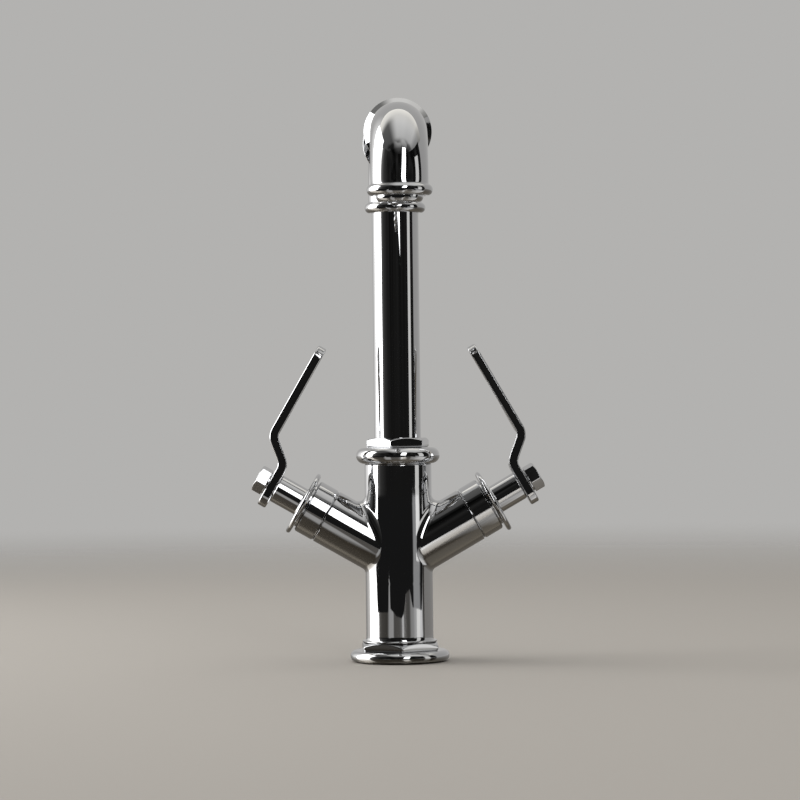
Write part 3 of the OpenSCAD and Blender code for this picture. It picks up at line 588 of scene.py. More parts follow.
class FAUCET_OT_body(BuildPiece, bpy.types.Operator):
    """Build the cast body: barrel, foot and two arms with fillets"""

    bl_idname = "faucet.body"
    bl_label = "Cast body"

    top_steps = 32
    side_steps = 32

    def junction(self, sizes, angle, step):
        """A point on the blend of arm and barrel: on the arm at step 0, and on the barrel at step 1."""
        cos_s, sin_s = math.cos(sizes.arm_slope), math.sin(sizes.arm_slope)
        wider_in_front = 1.3
        fillet_r = sizes.fillet_r * (1 + wider_in_front * math.sin(angle) ** 2)
        reach_arm = sizes.arm_r + fillet_r
        reach_barrel = sizes.barrel_r + fillet_r
        y = reach_arm * math.sin(angle)
        x = math.sqrt(reach_barrel ** 2 - y ** 2)
        u = (x + reach_arm * math.cos(angle) * sin_s) / cos_s
        outwards = Vector((-sin_s * math.cos(angle), math.sin(angle), cos_s * math.cos(angle)))
        centre = Vector((0, 0, sizes.arm_z)) + u * Vector((cos_s, 0, sin_s)) + reach_arm * outwards
        to_arm = -outwards
        to_barrel = Vector((-x, -y, 0)).normalized()
        between = to_arm.angle(to_barrel)
        arm_share, barrel_share = math.sin((1 - step) * between), math.sin(step * between)
        turned = (to_arm * arm_share + to_barrel * barrel_share) / math.sin(between)
        return centre + turned * fillet_r, u

    def execute(self, context):
        sizes = context.scene.faucet_body
        base = context.scene.faucet_base
        foot_z = base.flange_h + base.hex_h
        top_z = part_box("body")[1].z
        count = 4 * self.top_steps + 2 * self.side_steps
        low, high = foot_z + 0.029, top_z - 0.0105  # the part of the barrel round the arms
        bm = bmesh.new()

        def angle(i):
            return TURN * i / count

        def on_arm(radius, u):
            def at(i):
                a = angle(i)
                local = Vector((-radius * math.cos(a), radius * math.sin(a), u))
                return arm_place(1) @ local
            return at

        def blend(step):
            return lambda i: self.junction(sizes, angle(i), step)[0]

        def along_arm(share):
            def at(i):
                near, _ = self.junction(sizes, angle(i), 0)
                far = on_arm(sizes.arm_r, sizes.arm_len - sizes.groove)(i)
                return far.lerp(near, share)
            return at

        def window(i):
            """The angle and height of the rectangle round the arm on the half barrel."""
            t, s = self.top_steps, self.side_steps
            half = math.pi / 2
            if i <= t:
                return half * i / t, high
            if i <= t + s:
                return half, high + (low - high) * (i - t) / s
            if i <= 3 * t + s:
                return half * (2 * t + s - i) / t, low
            if i <= 3 * t + 2 * s:
                return -half, low + (high - low) * (i - 3 * t - s) / s
            return half * (i - 4 * t - 2 * s) / t, high

        def on_barrel(share):
            def at(i):
                point, _ = self.junction(sizes, angle(i), 1)
                turn, z = math.atan2(point.y, point.x), point.z
                edge_turn, edge_z = window(i)
                turn += (edge_turn - turn) * share
                z += (edge_z - z) * share
                return Vector((sizes.barrel_r * math.cos(turn), sizes.barrel_r * math.sin(turn), z))
            return at

        end, chamber = sizes.arm_len, 0.017
        bore, neck = sizes.cartridge_bore_r, sizes.arm_r - sizes.groove
        edge = 0.00009
        # the loops run from the middle of the bore's floor, over the arm's end, and back to the barrel
        loop = first_loop(bm, count, on_arm(1e-9, chamber))
        for radius, u in ((bore, chamber), (bore, end), (neck - 0.0001, end), (neck, end - 0.00004),
                          (sizes.arm_r - edge, end - sizes.groove + edge)):
            loop = next_loop(bm, loop, on_arm(radius, u))
        for share in (0, 0.02, 0.2, 0.4, 0.6, 0.8, 0.97):
            loop = next_loop(bm, loop, along_arm(share))
        fillet_steps = 12
        for step in range(fillet_steps + 1):
            loop = next_loop(bm, loop, blend(step / fillet_steps))
        for share in (0.03, 0.08, 0.16, 0.26, 0.38, 0.5, 0.62, 0.74, 0.86, 0.94, 1):
            loop = next_loop(bm, loop, on_barrel(share))
        bmesh.ops.mirror(bm, geom=bm.verts[:] + bm.edges[:] + bm.faces[:], matrix=Matrix.Identity(4),
                         merge_dist=1e-6, axis="X")
        bmesh.ops.remove_doubles(bm, verts=bm.verts, dist=1e-7)
        steps = 4 * self.top_steps
        radius = sizes.barrel_r
        joint_wall = 0.0032
        joint_bore, joint_z = radius - joint_wall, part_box("thrust_washer")[0].z
        lathe(bm, [(radius, high), (radius, (high + top_z) / 2), (radius, top_z, 0.0009),
                   (joint_bore, top_z), (joint_bore, joint_z), (0, joint_z)], closed=False, steps=steps)
        flare, power = sizes.foot_r - radius, 6
        cove_z = foot_z + sizes.foot_lip_h + sizes.foot_flare_h
        cove = []
        cove_steps = 24
        for i in range(cove_steps + 1):
            fall = math.cos(math.pi / 2 * i / cove_steps) ** 0.5
            hollow = 1 - (1 - fall ** power) ** (1 / power)
            cove.append((radius + flare * hollow, cove_z - sizes.foot_flare_h * fall))
        socket, socket_z = base.shank_r + FIT, foot_z + 0.0082
        lathe(bm, [(0, socket_z), (socket, socket_z), (socket, foot_z), (sizes.foot_r, foot_z, 0.0002)]
              + cove + [(radius, (cove_z + low) / 2), (radius, low)], closed=False, steps=steps)
        bmesh.ops.remove_doubles(bm, verts=bm.verts, dist=2e-7)
        finish_piece("Cast_body", bm, "faucet_body", "body", "cast_chrome")
        return {"FINISHED"}


class FAUCET_OT_spout_joint(BuildPiece, bpy.types.Operator):
    """Build the round ring and the spout nut on top of the body"""

    bl_idname = "faucet.spout_joint"
    bl_label = "Ring and spout nut"

    def execute(self, context):
        sizes = context.scene.faucet_body
        low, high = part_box("collar_ring")
        half = (high.z - low.z) / 2
        spigot = context.scene.faucet_base.shank_r
        bore = spigot + FIT
        ring = bmesh.new()
        lathe(ring, [(bore, low.z)] + arc(high.x - half, low.z + half, half, -90, 90, 28)
              + [(bore, high.z)])
        finish_piece("Collar_ring", ring, "faucet_body", "collar_ring")
        nut_low, nut_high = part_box("spout_nut")
        tube = context.scene.faucet_spout.tube_r + NUT_FIT
        nut = bmesh.new()
        place = Matrix.Translation((0, 0, high.z)) @ Matrix.Rotation(sizes.nut_turn, 4, "Z")
        hexagon(nut, sizes.nut_af, nut_high.z - high.z, tube, under=NUT_LEAN, place=place, edge_r=0.00025)
        spigot_top = high.z + OVERLAP
        lathe(nut, [(tube, nut_low.z), (spigot, nut_low.z, 0.0004), (spigot, spigot_top),
                    (tube, spigot_top)])
        finish_piece("Spout_nut", nut, "faucet_body", "spout_nut")
        return {"FINISHED"}


class FAUCET_OT_bonnets(BuildPiece, bpy.types.Operator):
    """Build the bonnet that caps each arm, with its neck"""

    bl_idname = "faucet.bonnets"
    bl_label = "Bonnets"

    def execute(self, context):
        body, sizes = context.scene.faucet_body, context.scene.faucet_handle
        start, end = body.arm_len, sizes.bonnet_end
        neck_end = end + 0.001
        spindle_hole, cavity_r, cavity_u = 0.00435, 0.013, start + 0.003
        edge, groove = 0.00012, body.groove
        for name, side in SIDES.items():
            bm = bmesh.new()
            lathe(bm, [(spindle_hole, cavity_u), (cavity_r, cavity_u), (cavity_r, start, 0.0002),
                       (body.arm_r - groove, start, edge), (body.arm_r, start + groove, edge),
                       (body.arm_r, end - groove, edge), (body.arm_r - groove, end, edge),
                       (sizes.neck_r, end, 0.0002), (sizes.neck_r, neck_end, edge),
                       (spindle_hole, neck_end)], place=arm_place(side))
            finish_piece(f"Bonnet_{name}", bm, "faucet_body", f"{name}_bonnet")
        return {"FINISHED"}


def lever_seat(sizes):
    """Distance from the faucet's axis to the hub's end, where the lever sits."""
    return sizes.bonnet_end + sizes.hub_gap + sizes.disc_w + sizes.hub_len


class FAUCET_OT_hubs(BuildPiece, bpy.types.Operator):
    """Build each handle's round flange and hub"""

    bl_idname = "faucet.hubs"
    bl_label = "Handle hubs"

    def execute(self, context):
        sizes = context.scene.faucet_handle
        start = sizes.bonnet_end + sizes.hub_gap
        face, end = start + sizes.disc_w, lever_seat(sizes)
        half, chamfer = sizes.disc_w / 2, 0.0005
        key_r, key_end = 0.0041, start + 0.0128
        for name, side in SIDES.items():
            bm = bmesh.new()
            lathe(bm, [(key_r, key_end), (key_r, start)]
                  + arc(sizes.disc_r - half, start + half, half, -90, 90, 14)
                  + [(sizes.hub_r, face, 0.0007), (sizes.hub_r, end - chamfer, 0.0003),
                     (sizes.hub_r - chamfer, end, 0.0002), (sizes.screw_hole_r, end),
                     (sizes.screw_hole_r, key_end)], place=arm_place(side))
            finish_piece(f"Hub_{name}", bm, f"{name}_handle", f"{name}_hub")
        return {"FINISHED"}


class FAUCET_OT_levers(BuildPiece, bpy.types.Operator):
    """Build each flat bar lever, joggled outwards and round at both ends"""

    bl_idname = "faucet.levers"
    bl_label = "Levers"

    def path(self, sizes, height):
        """The bar's middle line at a height above the hub's axis: its offset and its slope."""
        bend, radius = sizes.lever_bend, sizes.lever_bend_r
        slope = (sizes.lever_offset - 2 * radius * (1 - math.cos(bend))) / math.sin(bend)
        first = sizes.lever_straight
        second = first + radius * math.sin(bend)
        third = second + slope * math.cos(bend)
        last = third + radius * math.sin(bend)
        if height <= first:
            return 0.0, 0.0
        if height <= second:
            turn = math.asin((height - first) / radius)
            return radius * (1 - math.cos(turn)), turn
        if height <= third:
            return radius * (1 - math.cos(bend)) + (height - second) * math.tan(bend), bend
        if height <= last:
            turn = math.asin((last - height) / radius)
            return sizes.lever_offset - radius * (1 - math.cos(turn)), turn
        return sizes.lever_offset, 0.0

    def execute(self, context):
        sizes = context.scene.faucet_handle
        half_t = sizes.lever_t / 2
        middle_u = lever_seat(sizes) + half_t
        end_r = sizes.lever_w / 2
        start, stop, cuts = sizes.lever_straight - 0.001, sizes.lever_straight + 0.023, 48
        for name, side in SIDES.items():
            bm = bmesh.new()
            ring = bmesh.ops.create_circle(bm, segments=96, radius=end_r, cap_ends=True)["verts"]
            for vert in ring:
                vert.co.x += sizes.lever_down - end_r if vert.co.x > 1e-6 else end_r - sizes.lever_up
                vert.co.z = -half_t
            top = bmesh.ops.extrude_face_region(bm, geom=bm.faces[:])["geom"]
            raised = [item for item in top if isinstance(item, bmesh.types.BMVert)]
            bmesh.ops.translate(bm, verts=raised, vec=(0, 0, 2 * half_t))
            # the stretch with both bends is cut across, so that it can bend
            for i in range(cuts + 1):
                cut = -(start + (stop - start) * i / cuts)
                bmesh.ops.bisect_plane(bm, geom=bm.verts[:] + bm.edges[:] + bm.faces[:],
                                       plane_co=(cut, 0, 0), plane_no=(1, 0, 0))
            bmesh.ops.recalc_face_normals(bm, faces=bm.faces)
            rims = [e for e in bm.edges if e.is_manifold and e.calc_face_angle() > math.radians(60)]
            bmesh.ops.bevel(bm, geom=rims, offset=sizes.edge_r, offset_type="OFFSET", segments=4,
                            profile=0.5, affect="EDGES", material=-1, clamp_overlap=True)
            for vert in bm.verts:
                offset, turn = self.path(sizes, -vert.co.x)
                out = vert.co.z
                vert.co.x += out * math.sin(turn)
                vert.co.z = offset + out * math.cos(turn)
            bmesh.ops.transform(bm, matrix=arm_place(side, middle_u), verts=bm.verts)
            finish_piece(f"Lever_{name}", bm, f"{name}_handle", f"{name}_lever")
        return {"FINISHED"}


class FAUCET_OT_handle_screws(BuildPiece, bpy.types.Operator):
    """Build the hexagon-headed screw and the washer that hold each lever"""

    bl_idname = "faucet.handle_screws"
    bl_label = "Handle screws and washers"

    def execute(self, context):
        sizes = context.scene.faucet_handle
        washer_u = lever_seat(sizes) + sizes.lever_t
        head_u = washer_u + sizes.washer_t
        hole, outer = sizes.screw_hole_r, sizes.screw_af / 2 - 0.0002
        low, high = head_u - 0.0152, head_u + OVERLAP
        thread_r = hole - 0.0001
        for name, side in SIDES.items():
            washer = bmesh.new()
            lathe(washer, [(hole, washer_u), (outer, washer_u, 0.00015), (outer, head_u, 0.00025),
                           (hole, head_u)], place=arm_place(side))
            finish_piece(f"Lever_washer_{name}", washer, f"{name}_handle", f"{name}_lever_washer")
            screw = bmesh.new()
            hexagon(screw, sizes.screw_af, sizes.screw_head_h, 0, edge_r=0.00015,
                    place=arm_place(side, head_u) @ Matrix.Rotation(sizes.screw_turn, 4, "Z"))
            lathe(screw, [(0, low), (thread_r, low, 0.0004), (thread_r, high), (0, high)], closed=False,
                  place=arm_place(side), steps=48)
            finish_piece(f"Handle_screw_{name}", screw, f"{name}_handle", f"{name}_handle_screw")
        return {"FINISHED"}


class FAUCET_OT_tubes(BuildPiece, bpy.types.Operator):
    """Build the upright riser and the level tube between the elbows"""

    bl_idname = "faucet.tubes"
    bl_label = "Riser and cross tube"

    def execute(self, context):
        sizes = context.scene.faucet_spout
        for name, node in (("Riser", "riser"), ("Cross_tube", "cross_tube")):
            low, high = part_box(node)
            bm = bmesh.new()
            if node == "riser":
                start, end, place = low.z, high.z, Matrix.Identity(4)
            else:
                start, end = -high.y, -low.y
                place = Matrix.Translation((0, 0, sizes.level_z)) @ Matrix.Rotation(math.pi / 2, 4, "X")
            rings = 12
            middle = [(sizes.tube_r, start + (end - start) * i / rings) for i in range(1, rings)]
            lathe(bm, [(sizes.bore_r, start), (sizes.tube_r, start, 0.0003)] + middle
                  + [(sizes.tube_r, end, 0.0003), (sizes.bore_r, end)], place=place)
            finish_piece(name, bm, "spout", node)
        return {"FINISHED"}


class FAUCET_OT_elbows(BuildPiece, bpy.types.Operator):
    """Build the two elbows, with a rounded bead below and a sloping collar on the level leg"""

    bl_idname = "faucet.elbows"
    bl_label = "Elbows"

    def socket(self, sizes, length):
        """The rest of a leg's profile, from its end back through the socket."""
        socket_r, seat = sizes.tube_r + FIT, length - sizes.socket
        return [(socket_r, length, 0.0002), (socket_r, seat), (sizes.bore_r, seat), (sizes.bore_r, 0)]

    def upright_leg(self, sizes):
        """The profile of the upright leg: down along the pipe, round the bead, and back up."""
        length, half = sizes.leg_len, sizes.bead_w / 2
        centre = sizes.bead_r - half
        meet = math.degrees(math.acos((sizes.elbow_r - centre) / half))
        root = length - half - half * math.sin(math.radians(meet))
        return ([(sizes.elbow_r, 0), (sizes.elbow_r, root * 0.5), (sizes.elbow_r, root - 0.0004)]
                + arc(centre, length - half, half, -meet + 6, 90, 22) + self.socket(sizes, length))

    def level_leg(self, sizes):
        """The profile of the level leg: along the pipe, up the collar's slope, and back."""
        length, start = sizes.level_len, sizes.level_len - sizes.collar_w
        rise = sizes.collar_r - sizes.elbow_r
        run = sizes.collar_slope * rise / (rise + 0.001)
        return ([(sizes.elbow_r, 0), (sizes.elbow_r, start + sizes.collar_slope - run, 0.0004),
                 (sizes.collar_r, start + sizes.collar_slope, 0.0003), (sizes.collar_r, length, 0.0005)]
                + self.socket(sizes, length))

    def execute(self, context):
        sizes = context.scene.faucet_spout
        bend = sizes.bend_r
        spots = {
            "Rear_elbow": ("rear_elbow", Matrix.Translation((0, 0, sizes.level_z))),
            "Front_elbow": ("front_elbow", Matrix.Translation((0, -sizes.reach, sizes.level_z))
                            @ Matrix.Rotation(math.pi, 4, "Z")),
        }
        for name, (node, place) in spots.items():
            bm = bmesh.new()
            for radius in (sizes.elbow_r, sizes.bore_r):
                part = bmesh.new()
                bmesh.ops.create_circle(part, segments=LATHE_STEPS, radius=radius,
                                        matrix=Matrix.Translation((0, 0, -bend)))
                bmesh.ops.spin(part, geom=part.verts[:] + part.edges[:], cent=(0, -bend, -bend),
                               axis=(1, 0, 0), angle=math.pi / 2, steps=48)
                add_mesh(bm, part)
            lathe(bm, self.upright_leg(sizes), closed=False,
                  place=Matrix.Translation((0, 0, -bend)) @ Matrix.Rotation(math.pi, 4, "X"))
            lathe(bm, self.level_leg(sizes), closed=False,
                  place=Matrix.Translation((0, -bend, 0)) @ Matrix.Rotation(math.pi / 2, 4, "X"))
            bmesh.ops.remove_doubles(bm, verts=bm.verts, dist=2e-6)
            bmesh.ops.transform(bm, matrix=place, verts=bm.verts)
            finish_piece(name, bm, "spout", node, "cast_chrome")
        return {"FINISHED"}


class FAUCET_OT_outlet(BuildPiece, bpy.types.Operator):
    """Build the aerator's rounded housing"""

    bl_idname = "faucet.outlet"
    bl_label = "Aerator housing"

    def execute(self, context):
        sizes = context.scene.faucet_spout
        low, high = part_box("aerator_housing")
        leg_z = sizes.level_z - sizes.bend_r - sizes.leg_len
        outer = sizes.housing_r
        inside = sizes.tube_r - 0.0001
        insert = sizes.outlet_r + 0.001
        shoulder, screen_seat = leg_z - 0.0001, low.z + 0.0014
        across, drop = outer - sizes.outlet_r - 0.0004, leg_z - low.z - 0.0002
        rounding = [(outer - across * (1 - math.cos(a)), low.z + drop * (1 - math.sin(a)))
                    for a in (math.radians(90 - 5 * i) for i in range(19))]
        bm = bmesh.new()
        lathe(bm, [(sizes.outlet_r, low.z, 0.0003)] + rounding
              + [(outer, shoulder), (inside, shoulder, 0.0001), (inside, high.z, 0.0003), (insert, high.z),
                 (insert, screen_seat), (sizes.outlet_r, screen_seat)],
              place=Matrix.Translation((0, -sizes.reach, 0)))
        finish_piece("Aerator_housing", bm, "spout", "aerator_housing")
        return {"FINISHED"}


class FAUCET_OT_shank(BuildPiece, bpy.types.Operator):
    """Build the hollow shank with its thread and its spigot"""

    bl_idname = "faucet.shank"
    bl_label = "Threaded shank"

    def execute(self, context):
        sizes = context.scene.faucet_base
        low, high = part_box("shank")
        outer, bore, pitch = sizes.shank_r, sizes.shank_bore_r, sizes.thread_pitch
        root = outer - sizes.thread_depth
        spigot_z, chamfer = -0.003, 0.0008
        bm = bmesh.new()
        lathe(bm, [(bore, low.z, 0.0003), (root, low.z, 0.0006), (root, spigot_z),
                   (sizes.spigot_r, spigot_z, 0.0004), (sizes.spigot_r, 0), (outer, 0),
                   (outer, high.z - chamfer), (outer - chamfer, high.z), (bore, high.z)])
        start, thread_end = low.z + 0.001, -0.0045
        turns = int((thread_end - start) / pitch)
        thread = bmesh.new()
        sunk, width = root - 0.0001, 0.94 * pitch
        ridge = [(sunk, 0), (outer, 0.42), (outer, 0.62), (sunk, 1)]
        verts = [thread.verts.new((r, 0, start + h * width)) for r, h in ridge]
        face = thread.faces.new(verts)
        steps = 64 * turns
        bmesh.ops.spin(thread, geom=[face] + face.edges[:] + verts, cent=(0, 0, 0), axis=(0, 0, 1),
                       angle=TURN * turns, dvec=(0, 0, pitch * turns / steps), steps=steps,
                       use_duplicate=False)
        add_mesh(bm, thread)
        finish_piece("Threaded_shank", bm, "faucet_body", "shank", "turned_brass")
        return {"FINISHED"}


class FAUCET_OT_clamp(BuildPiece, bpy.types.Operator):
    """Build the locknut and the two washers under the deck"""

    bl_idname = "faucet.clamp"
    bl_label = "Deck clamp"

    def execute(self, context):
        sizes = context.scene.faucet_base
        low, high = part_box("locknut")
        nut = bmesh.new()
        hexagon(nut, sizes.locknut_af, high.z - low.z, sizes.shank_r + NUT_FIT, bottom=True,
                place=Matrix.Translation((0, 0, low.z)), edge_r=0.0003)
        finish_piece("Locknut", nut, "deck_clamp", "locknut", "turned_brass")
        for name, node, finish, edge in (("Clamp_washer_steel", "clamp_steel", "stainless_steel", 0.0003),
                                         ("Clamp_washer_rubber", "clamp_rubber", "black_rubber", 0.0005)):
            low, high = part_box(node)
            bm = bmesh.new()
            bore = sizes.shank_r + 0.0003
            lathe(bm, [(bore, low.z, edge), (high.x, low.z, edge), (high.x, high.z, edge),
                       (bore, high.z, edge)])
            finish_piece(name, bm, "deck_clamp", node, finish)
        return {"FINISHED"}


class FAUCET_OT_inner_parts(BuildPiece, bpy.types.Operator):
    """Give the parts inside the faucet their finishes"""

    bl_idname = "faucet.inner_parts"
    bl_label = "Inner parts"

    def execute(self, context):
        slots = {part["node"]: part["material_slot"] for part in frame["record"]["subparts"]}
        for name, node in frame["nodes"].items():
            for material_slot in node.material_slots:
                material_slot.material = finish_material(slots[name])
        return {"FINISHED"}


# Studio


def mix_shaders(tree, share, first, second):
    """The first shader where the share is 0, and the second where it is 1."""
    return add_node(tree, "ShaderNodeMixShader", {0: share, 1: first, 2: second}).outputs[0]


def ramp(tree, value, low, high, stops):
    """A value's brightness by rising stops of (value, grey) from low to high; it puts out a colour."""
    colours = add_node(tree, "ShaderNodeValToRGB", {0: remap(tree, value, low, high)})
    elements = colours.color_ramp.elements
    for i, (at, grey) in enumerate((stops[0], stops[-1], *stops[1:-1])):
        place = (at - low) / (high - low)
        element = elements[i] if i < 2 else elements.new(place)
        element.position = place
        element.color = (grey, grey, grey, 1)
    return colours.outputs["Color"]


def heading(tree, split):
    """The direction of a place from the faucet's axis, in radians from the front, to the right."""
    return calculate(tree, "ARCTAN2", split["X"], calculate(tree, "MULTIPLY", split["Y"], -1.0))


def by_heading(tree, turn, degrees):
    """A brightness by the heading, whose stops are in degrees."""
    stops = [(math.radians(at), grey) for at, grey in degrees]
    return ramp(tree, turn, stops[0][0], stops[-1][0], stops)


def stage_card(name, bm, material, reflected_only=True):
    """Makes a bmesh an object of the studio, which may show in polished metal and nowhere else."""
    mesh = bpy.data.meshes.new(name)
    bm.to_mesh(mesh)
    bm.free()
    mesh.materials.append(material)
    card = bpy.data.objects.new(name, mesh)
    bpy.context.scene.collection.objects.link(card)
    if reflected_only:
        for kind in ("camera", "diffuse", "shadow", "transmission", "volume_scatter"):
            setattr(card, f"visible_{kind}", False)


def around(azimuth, distance, height):
    """A point round the faucet: the azimuth is in degrees from the front, to the right."""
    turn = math.radians(azimuth)
    return Vector((distance * math.sin(turn), -distance * math.cos(turn), height))


def softbox(name, width, height, spot, target, radiance, lean=0.0, tint=(1, 1, 1)):
    """A rectangular lamp of even brightness that faces a point; it may lean and have a tint."""
    light = bpy.data.lights.new(name, "AREA")
    light.shape = "RECTANGLE"
    light.size, light.size_y = width, height
    light.energy = radiance * math.pi * width * height
    light.color = tint
    lamp = bpy.data.objects.new(name, light)
    lamp.location = spot
    facing = (Vector(target) - Vector(spot)).to_track_quat("-Z", "Y")
    lamp.rotation_euler = (facing @ Matrix.Rotation(math.radians(lean), 3, "Z").to_quaternion()).to_euler()
    lamp.visible_camera = False
    bpy.context.scene.collection.objects.link(lamp)
    return lamp


class FAUCET_OT_studio(BuildPiece, bpy.types.Operator):
    """Set up the floor, the backdrop, the lights and the camera"""

    bl_idname = "faucet.studio"
    bl_label = "Studio"

    room_r = 2.6
    ceiling_z = 2.0
    gloom = 0.011  # the strength of what is dark

    def deck(self, tree, studio, place, reach):
        """The deck that polished metal sees: dark, with painted reflections of the lamps as bright stripes,
        and an uneven edge in front; past the edge, painted gloom with a band of painted light.
        """
        split = add_node(tree, "ShaderNodeSeparateXYZ", {0: place}).outputs
        base = add_node(tree, "ShaderNodeBsdfPrincipled", {
            "Base Color": (*studio.deck, 1), "Roughness": 0.17, "IOR": 2.2,
            "Specular Tint": (1, 0.92, 0.8, 1)})
        turn = heading(tree, split)
        # painted reflections of the lamps: bright stripes that the deck gives off, by heading
        painted_lamp_stripes = by_heading(tree, turn, (
            (-90, 0), (-84, 0.02), (-42, 0.02), (-35, 0.34), (-23, 0.36), (-19, 0.06), (-2, 0.07),
            (5, 0.13), (10, 0.6), (15, 0.05), (32, 0.05), (38, 0.26), (46, 0.3), (52, 0.45), (70, 0.5),
            (78, 0.8), (85, 0.1), (90, 0)))
        # past the deck's edge: painted gloom, and a band of painted light on the right
        painted_light_past_edge = by_heading(tree, turn, (
            (-90, self.gloom), (46, self.gloom), (50, 0.33), (70, 0.33), (76, self.gloom),
            (90, self.gloom)))
        # the edge's distance is kept halved, because a ramp's colours end at one
        half_edge = by_heading(tree, turn, (
            (-90, 0.5), (-39, 0.5), (-37, 1), (-34, 1), (-32, 0.55), (-12, 0.46), (6, 0.44), (14, 0.5),
            (20, 0.74), (34, 0.8), (44, 0.56), (90, 0.5)))
        # the painted reflections of the lamps give light only clear of the faucet's arms
        clear_of_arms = remap(tree, reach, 0.09, 0.13)
        light = add_node(tree, "ShaderNodeEmission", {"Color": painted_lamp_stripes, "Strength": clear_of_arms})
        deck_with_painted_stripes = add_node(tree, "ShaderNodeAddShader", {0: base.outputs[0], 1: light.outputs[0]})
        edge = calculate(tree, "MULTIPLY", half_edge, 2 * studio.deck_edge)
        front_y = -0.07
        past = calculate(tree, "MULTIPLY", calculate(tree, "GREATER_THAN", reach, edge),
                         calculate(tree, "LESS_THAN", split["Y"], front_y))
        # past the edge the deck gives off its painted gloom and band of painted light
        dark = add_node(tree, "ShaderNodeEmission", {"Color": painted_light_past_edge})
        return mix_shaders(tree, past, deck_with_painted_stripes.outputs[0], dark.outputs[0])

    def floor(self, studio):
        """A plain pale floor that fades out; polished metal sees the deck instead."""
        material, tree, shader, place = start_material("Studio_floor")
        set_inputs(shader, {"Base Color": (*studio.floor, 1), "Roughness": 0.7, "Specular IOR Level": 0.1})
        reach = add_node(tree, "ShaderNodeVectorMath", {0: place}, operation="LENGTH").outputs["Value"]
        clear = tree.nodes.new("ShaderNodeBsdfTransparent")
        fade = remap(tree, reach, 0.5, 1.7, soft=True)
        faded = mix_shaders(tree, fade, shader.outputs[0], clear.outputs[0])
        glossy = tree.nodes.new("ShaderNodeLightPath").outputs["Is Glossy Ray"]
        seen = mix_shaders(tree, glossy, faded, self.deck(tree, studio, place, reach))
        set_inputs(tree.nodes["Material Output"], {"Surface": seen})
        bm = bmesh.new()
        bmesh.ops.create_circle(bm, cap_ends=True, segments=64, radius=self.room_r)
        stage_card("Studio_floor", bm, material, reflected_only=False)

    def glowing(self, name, place_to_light):
        """A material that only glows, with the colour and strength that a function makes from its place."""
        material, tree, shader, place = start_material(name)
        colour, strength = place_to_light(tree, place)
        set_inputs(shader, {"Base Color": (0, 0, 0, 1), "Roughness": 1, "Specular IOR Level": 0,
                            "Emission Color": colour, "Emission Strength": strength})
        return material

    def curtain_light(self, tree, place):
        """The curtain's colour and strength, all painted light: faint light in fold shapes that gives way to
        even gloom towards the floor, and painted lamp light near the lamp on the left.
        """
        split = add_node(tree, "ShaderNodeSeparateXYZ", {0: place}).outputs
        stretch = add_node(tree, "ShaderNodeMapping", {"Vector": place, "Scale": (1.0, 1.0, 0.35)})
        # painted faint light in fold shapes, giving way to even gloom towards the floor
        painted_fold_light = remap(tree, noise(tree, stretch.outputs["Vector"], 1.6, 2.0), 0.4, 0.75, 0.004, 0.03)
        rise = remap(tree, split["Z"], 0.0, 0.6)
        faint = add_node(tree, "ShaderNodeMix", {0: rise, 2: self.gloom, 3: painted_fold_light}, data_type="FLOAT")
        # painted lamp light on the curtain near the lamp on the left
        painted_lamp_light = by_heading(tree, heading(tree, split), (
            (-76, 0.19), (-74, 0.18), (-68, 0.085), (-64, 0.04), (-59, 0.026), (-50, 0.012), (-40, 0)))
        return (1, 0.98, 0.95, 1), calculate(tree, "ADD", painted_lamp_light, faint.outputs[0])

    def dark_room(self):
        """The unlit side of the room, which gives the chrome its dark bands."""
        start, end = -76, 93
        foot = around(start, self.room_r - 0.01, -0.05)
        bm = bmesh.new()
        bm.edges.new([bm.verts.new(foot), bm.verts.new((foot.x, foot.y, self.ceiling_z))])
        bmesh.ops.spin(bm, geom=bm.verts[:] + bm.edges[:], cent=(0, 0, 0), axis=(0, 0, 1),
                       angle=math.radians(end - start), steps=64)
        stage_card("Dark_curtain", bm, self.glowing("Dark_curtain", self.curtain_light))

    def ceiling_light(self, tree, place):
        """The ceiling's colour and strength, all painted light: brightest at the back, dark in front and on
        the left, with painted dark patches in front.

        Its stops are in heights of the ceiling.
        """
        spot = add_node(tree, "ShaderNodeVectorMath", {0: place, "Scale": 1 / self.ceiling_z},
                        operation="SCALE")
        split = add_node(tree, "ShaderNodeSeparateXYZ", {0: spot.outputs[0]}).outputs
        # painted light: the ceiling is brightest at the back, fades to the right and is dark in front on the
        # left
        depth = ramp(tree, split["Y"], -1.3, 0.65, (
            (-1.2, 0.02), (-0.98, 0.06), (-0.84, 0.2), (-0.68, 0.34), (-0.47, 0.44), (-0.2, 0.51),
            (0, 0.57), (0.21, 0.61), (0.33, 0.69), (0.45, 0.76), (0.56, 0.87), (0.62, 1.0)))
        right = ramp(tree, split["X"], 0.2, 1.7, (
            (0.22, 0.8), (0.4, 0.74), (0.78, 0.7), (0.9, 0.55), (1.05, 0.4), (1.25, 0.32), (1.6, 0.16)))
        left_front = calculate(tree, "MULTIPLY", remap(tree, split["X"], -0.05, -0.5, soft=True),
                               remap(tree, split["Y"], 0.3, 0.0, 0.0, 0.84, soft=True))
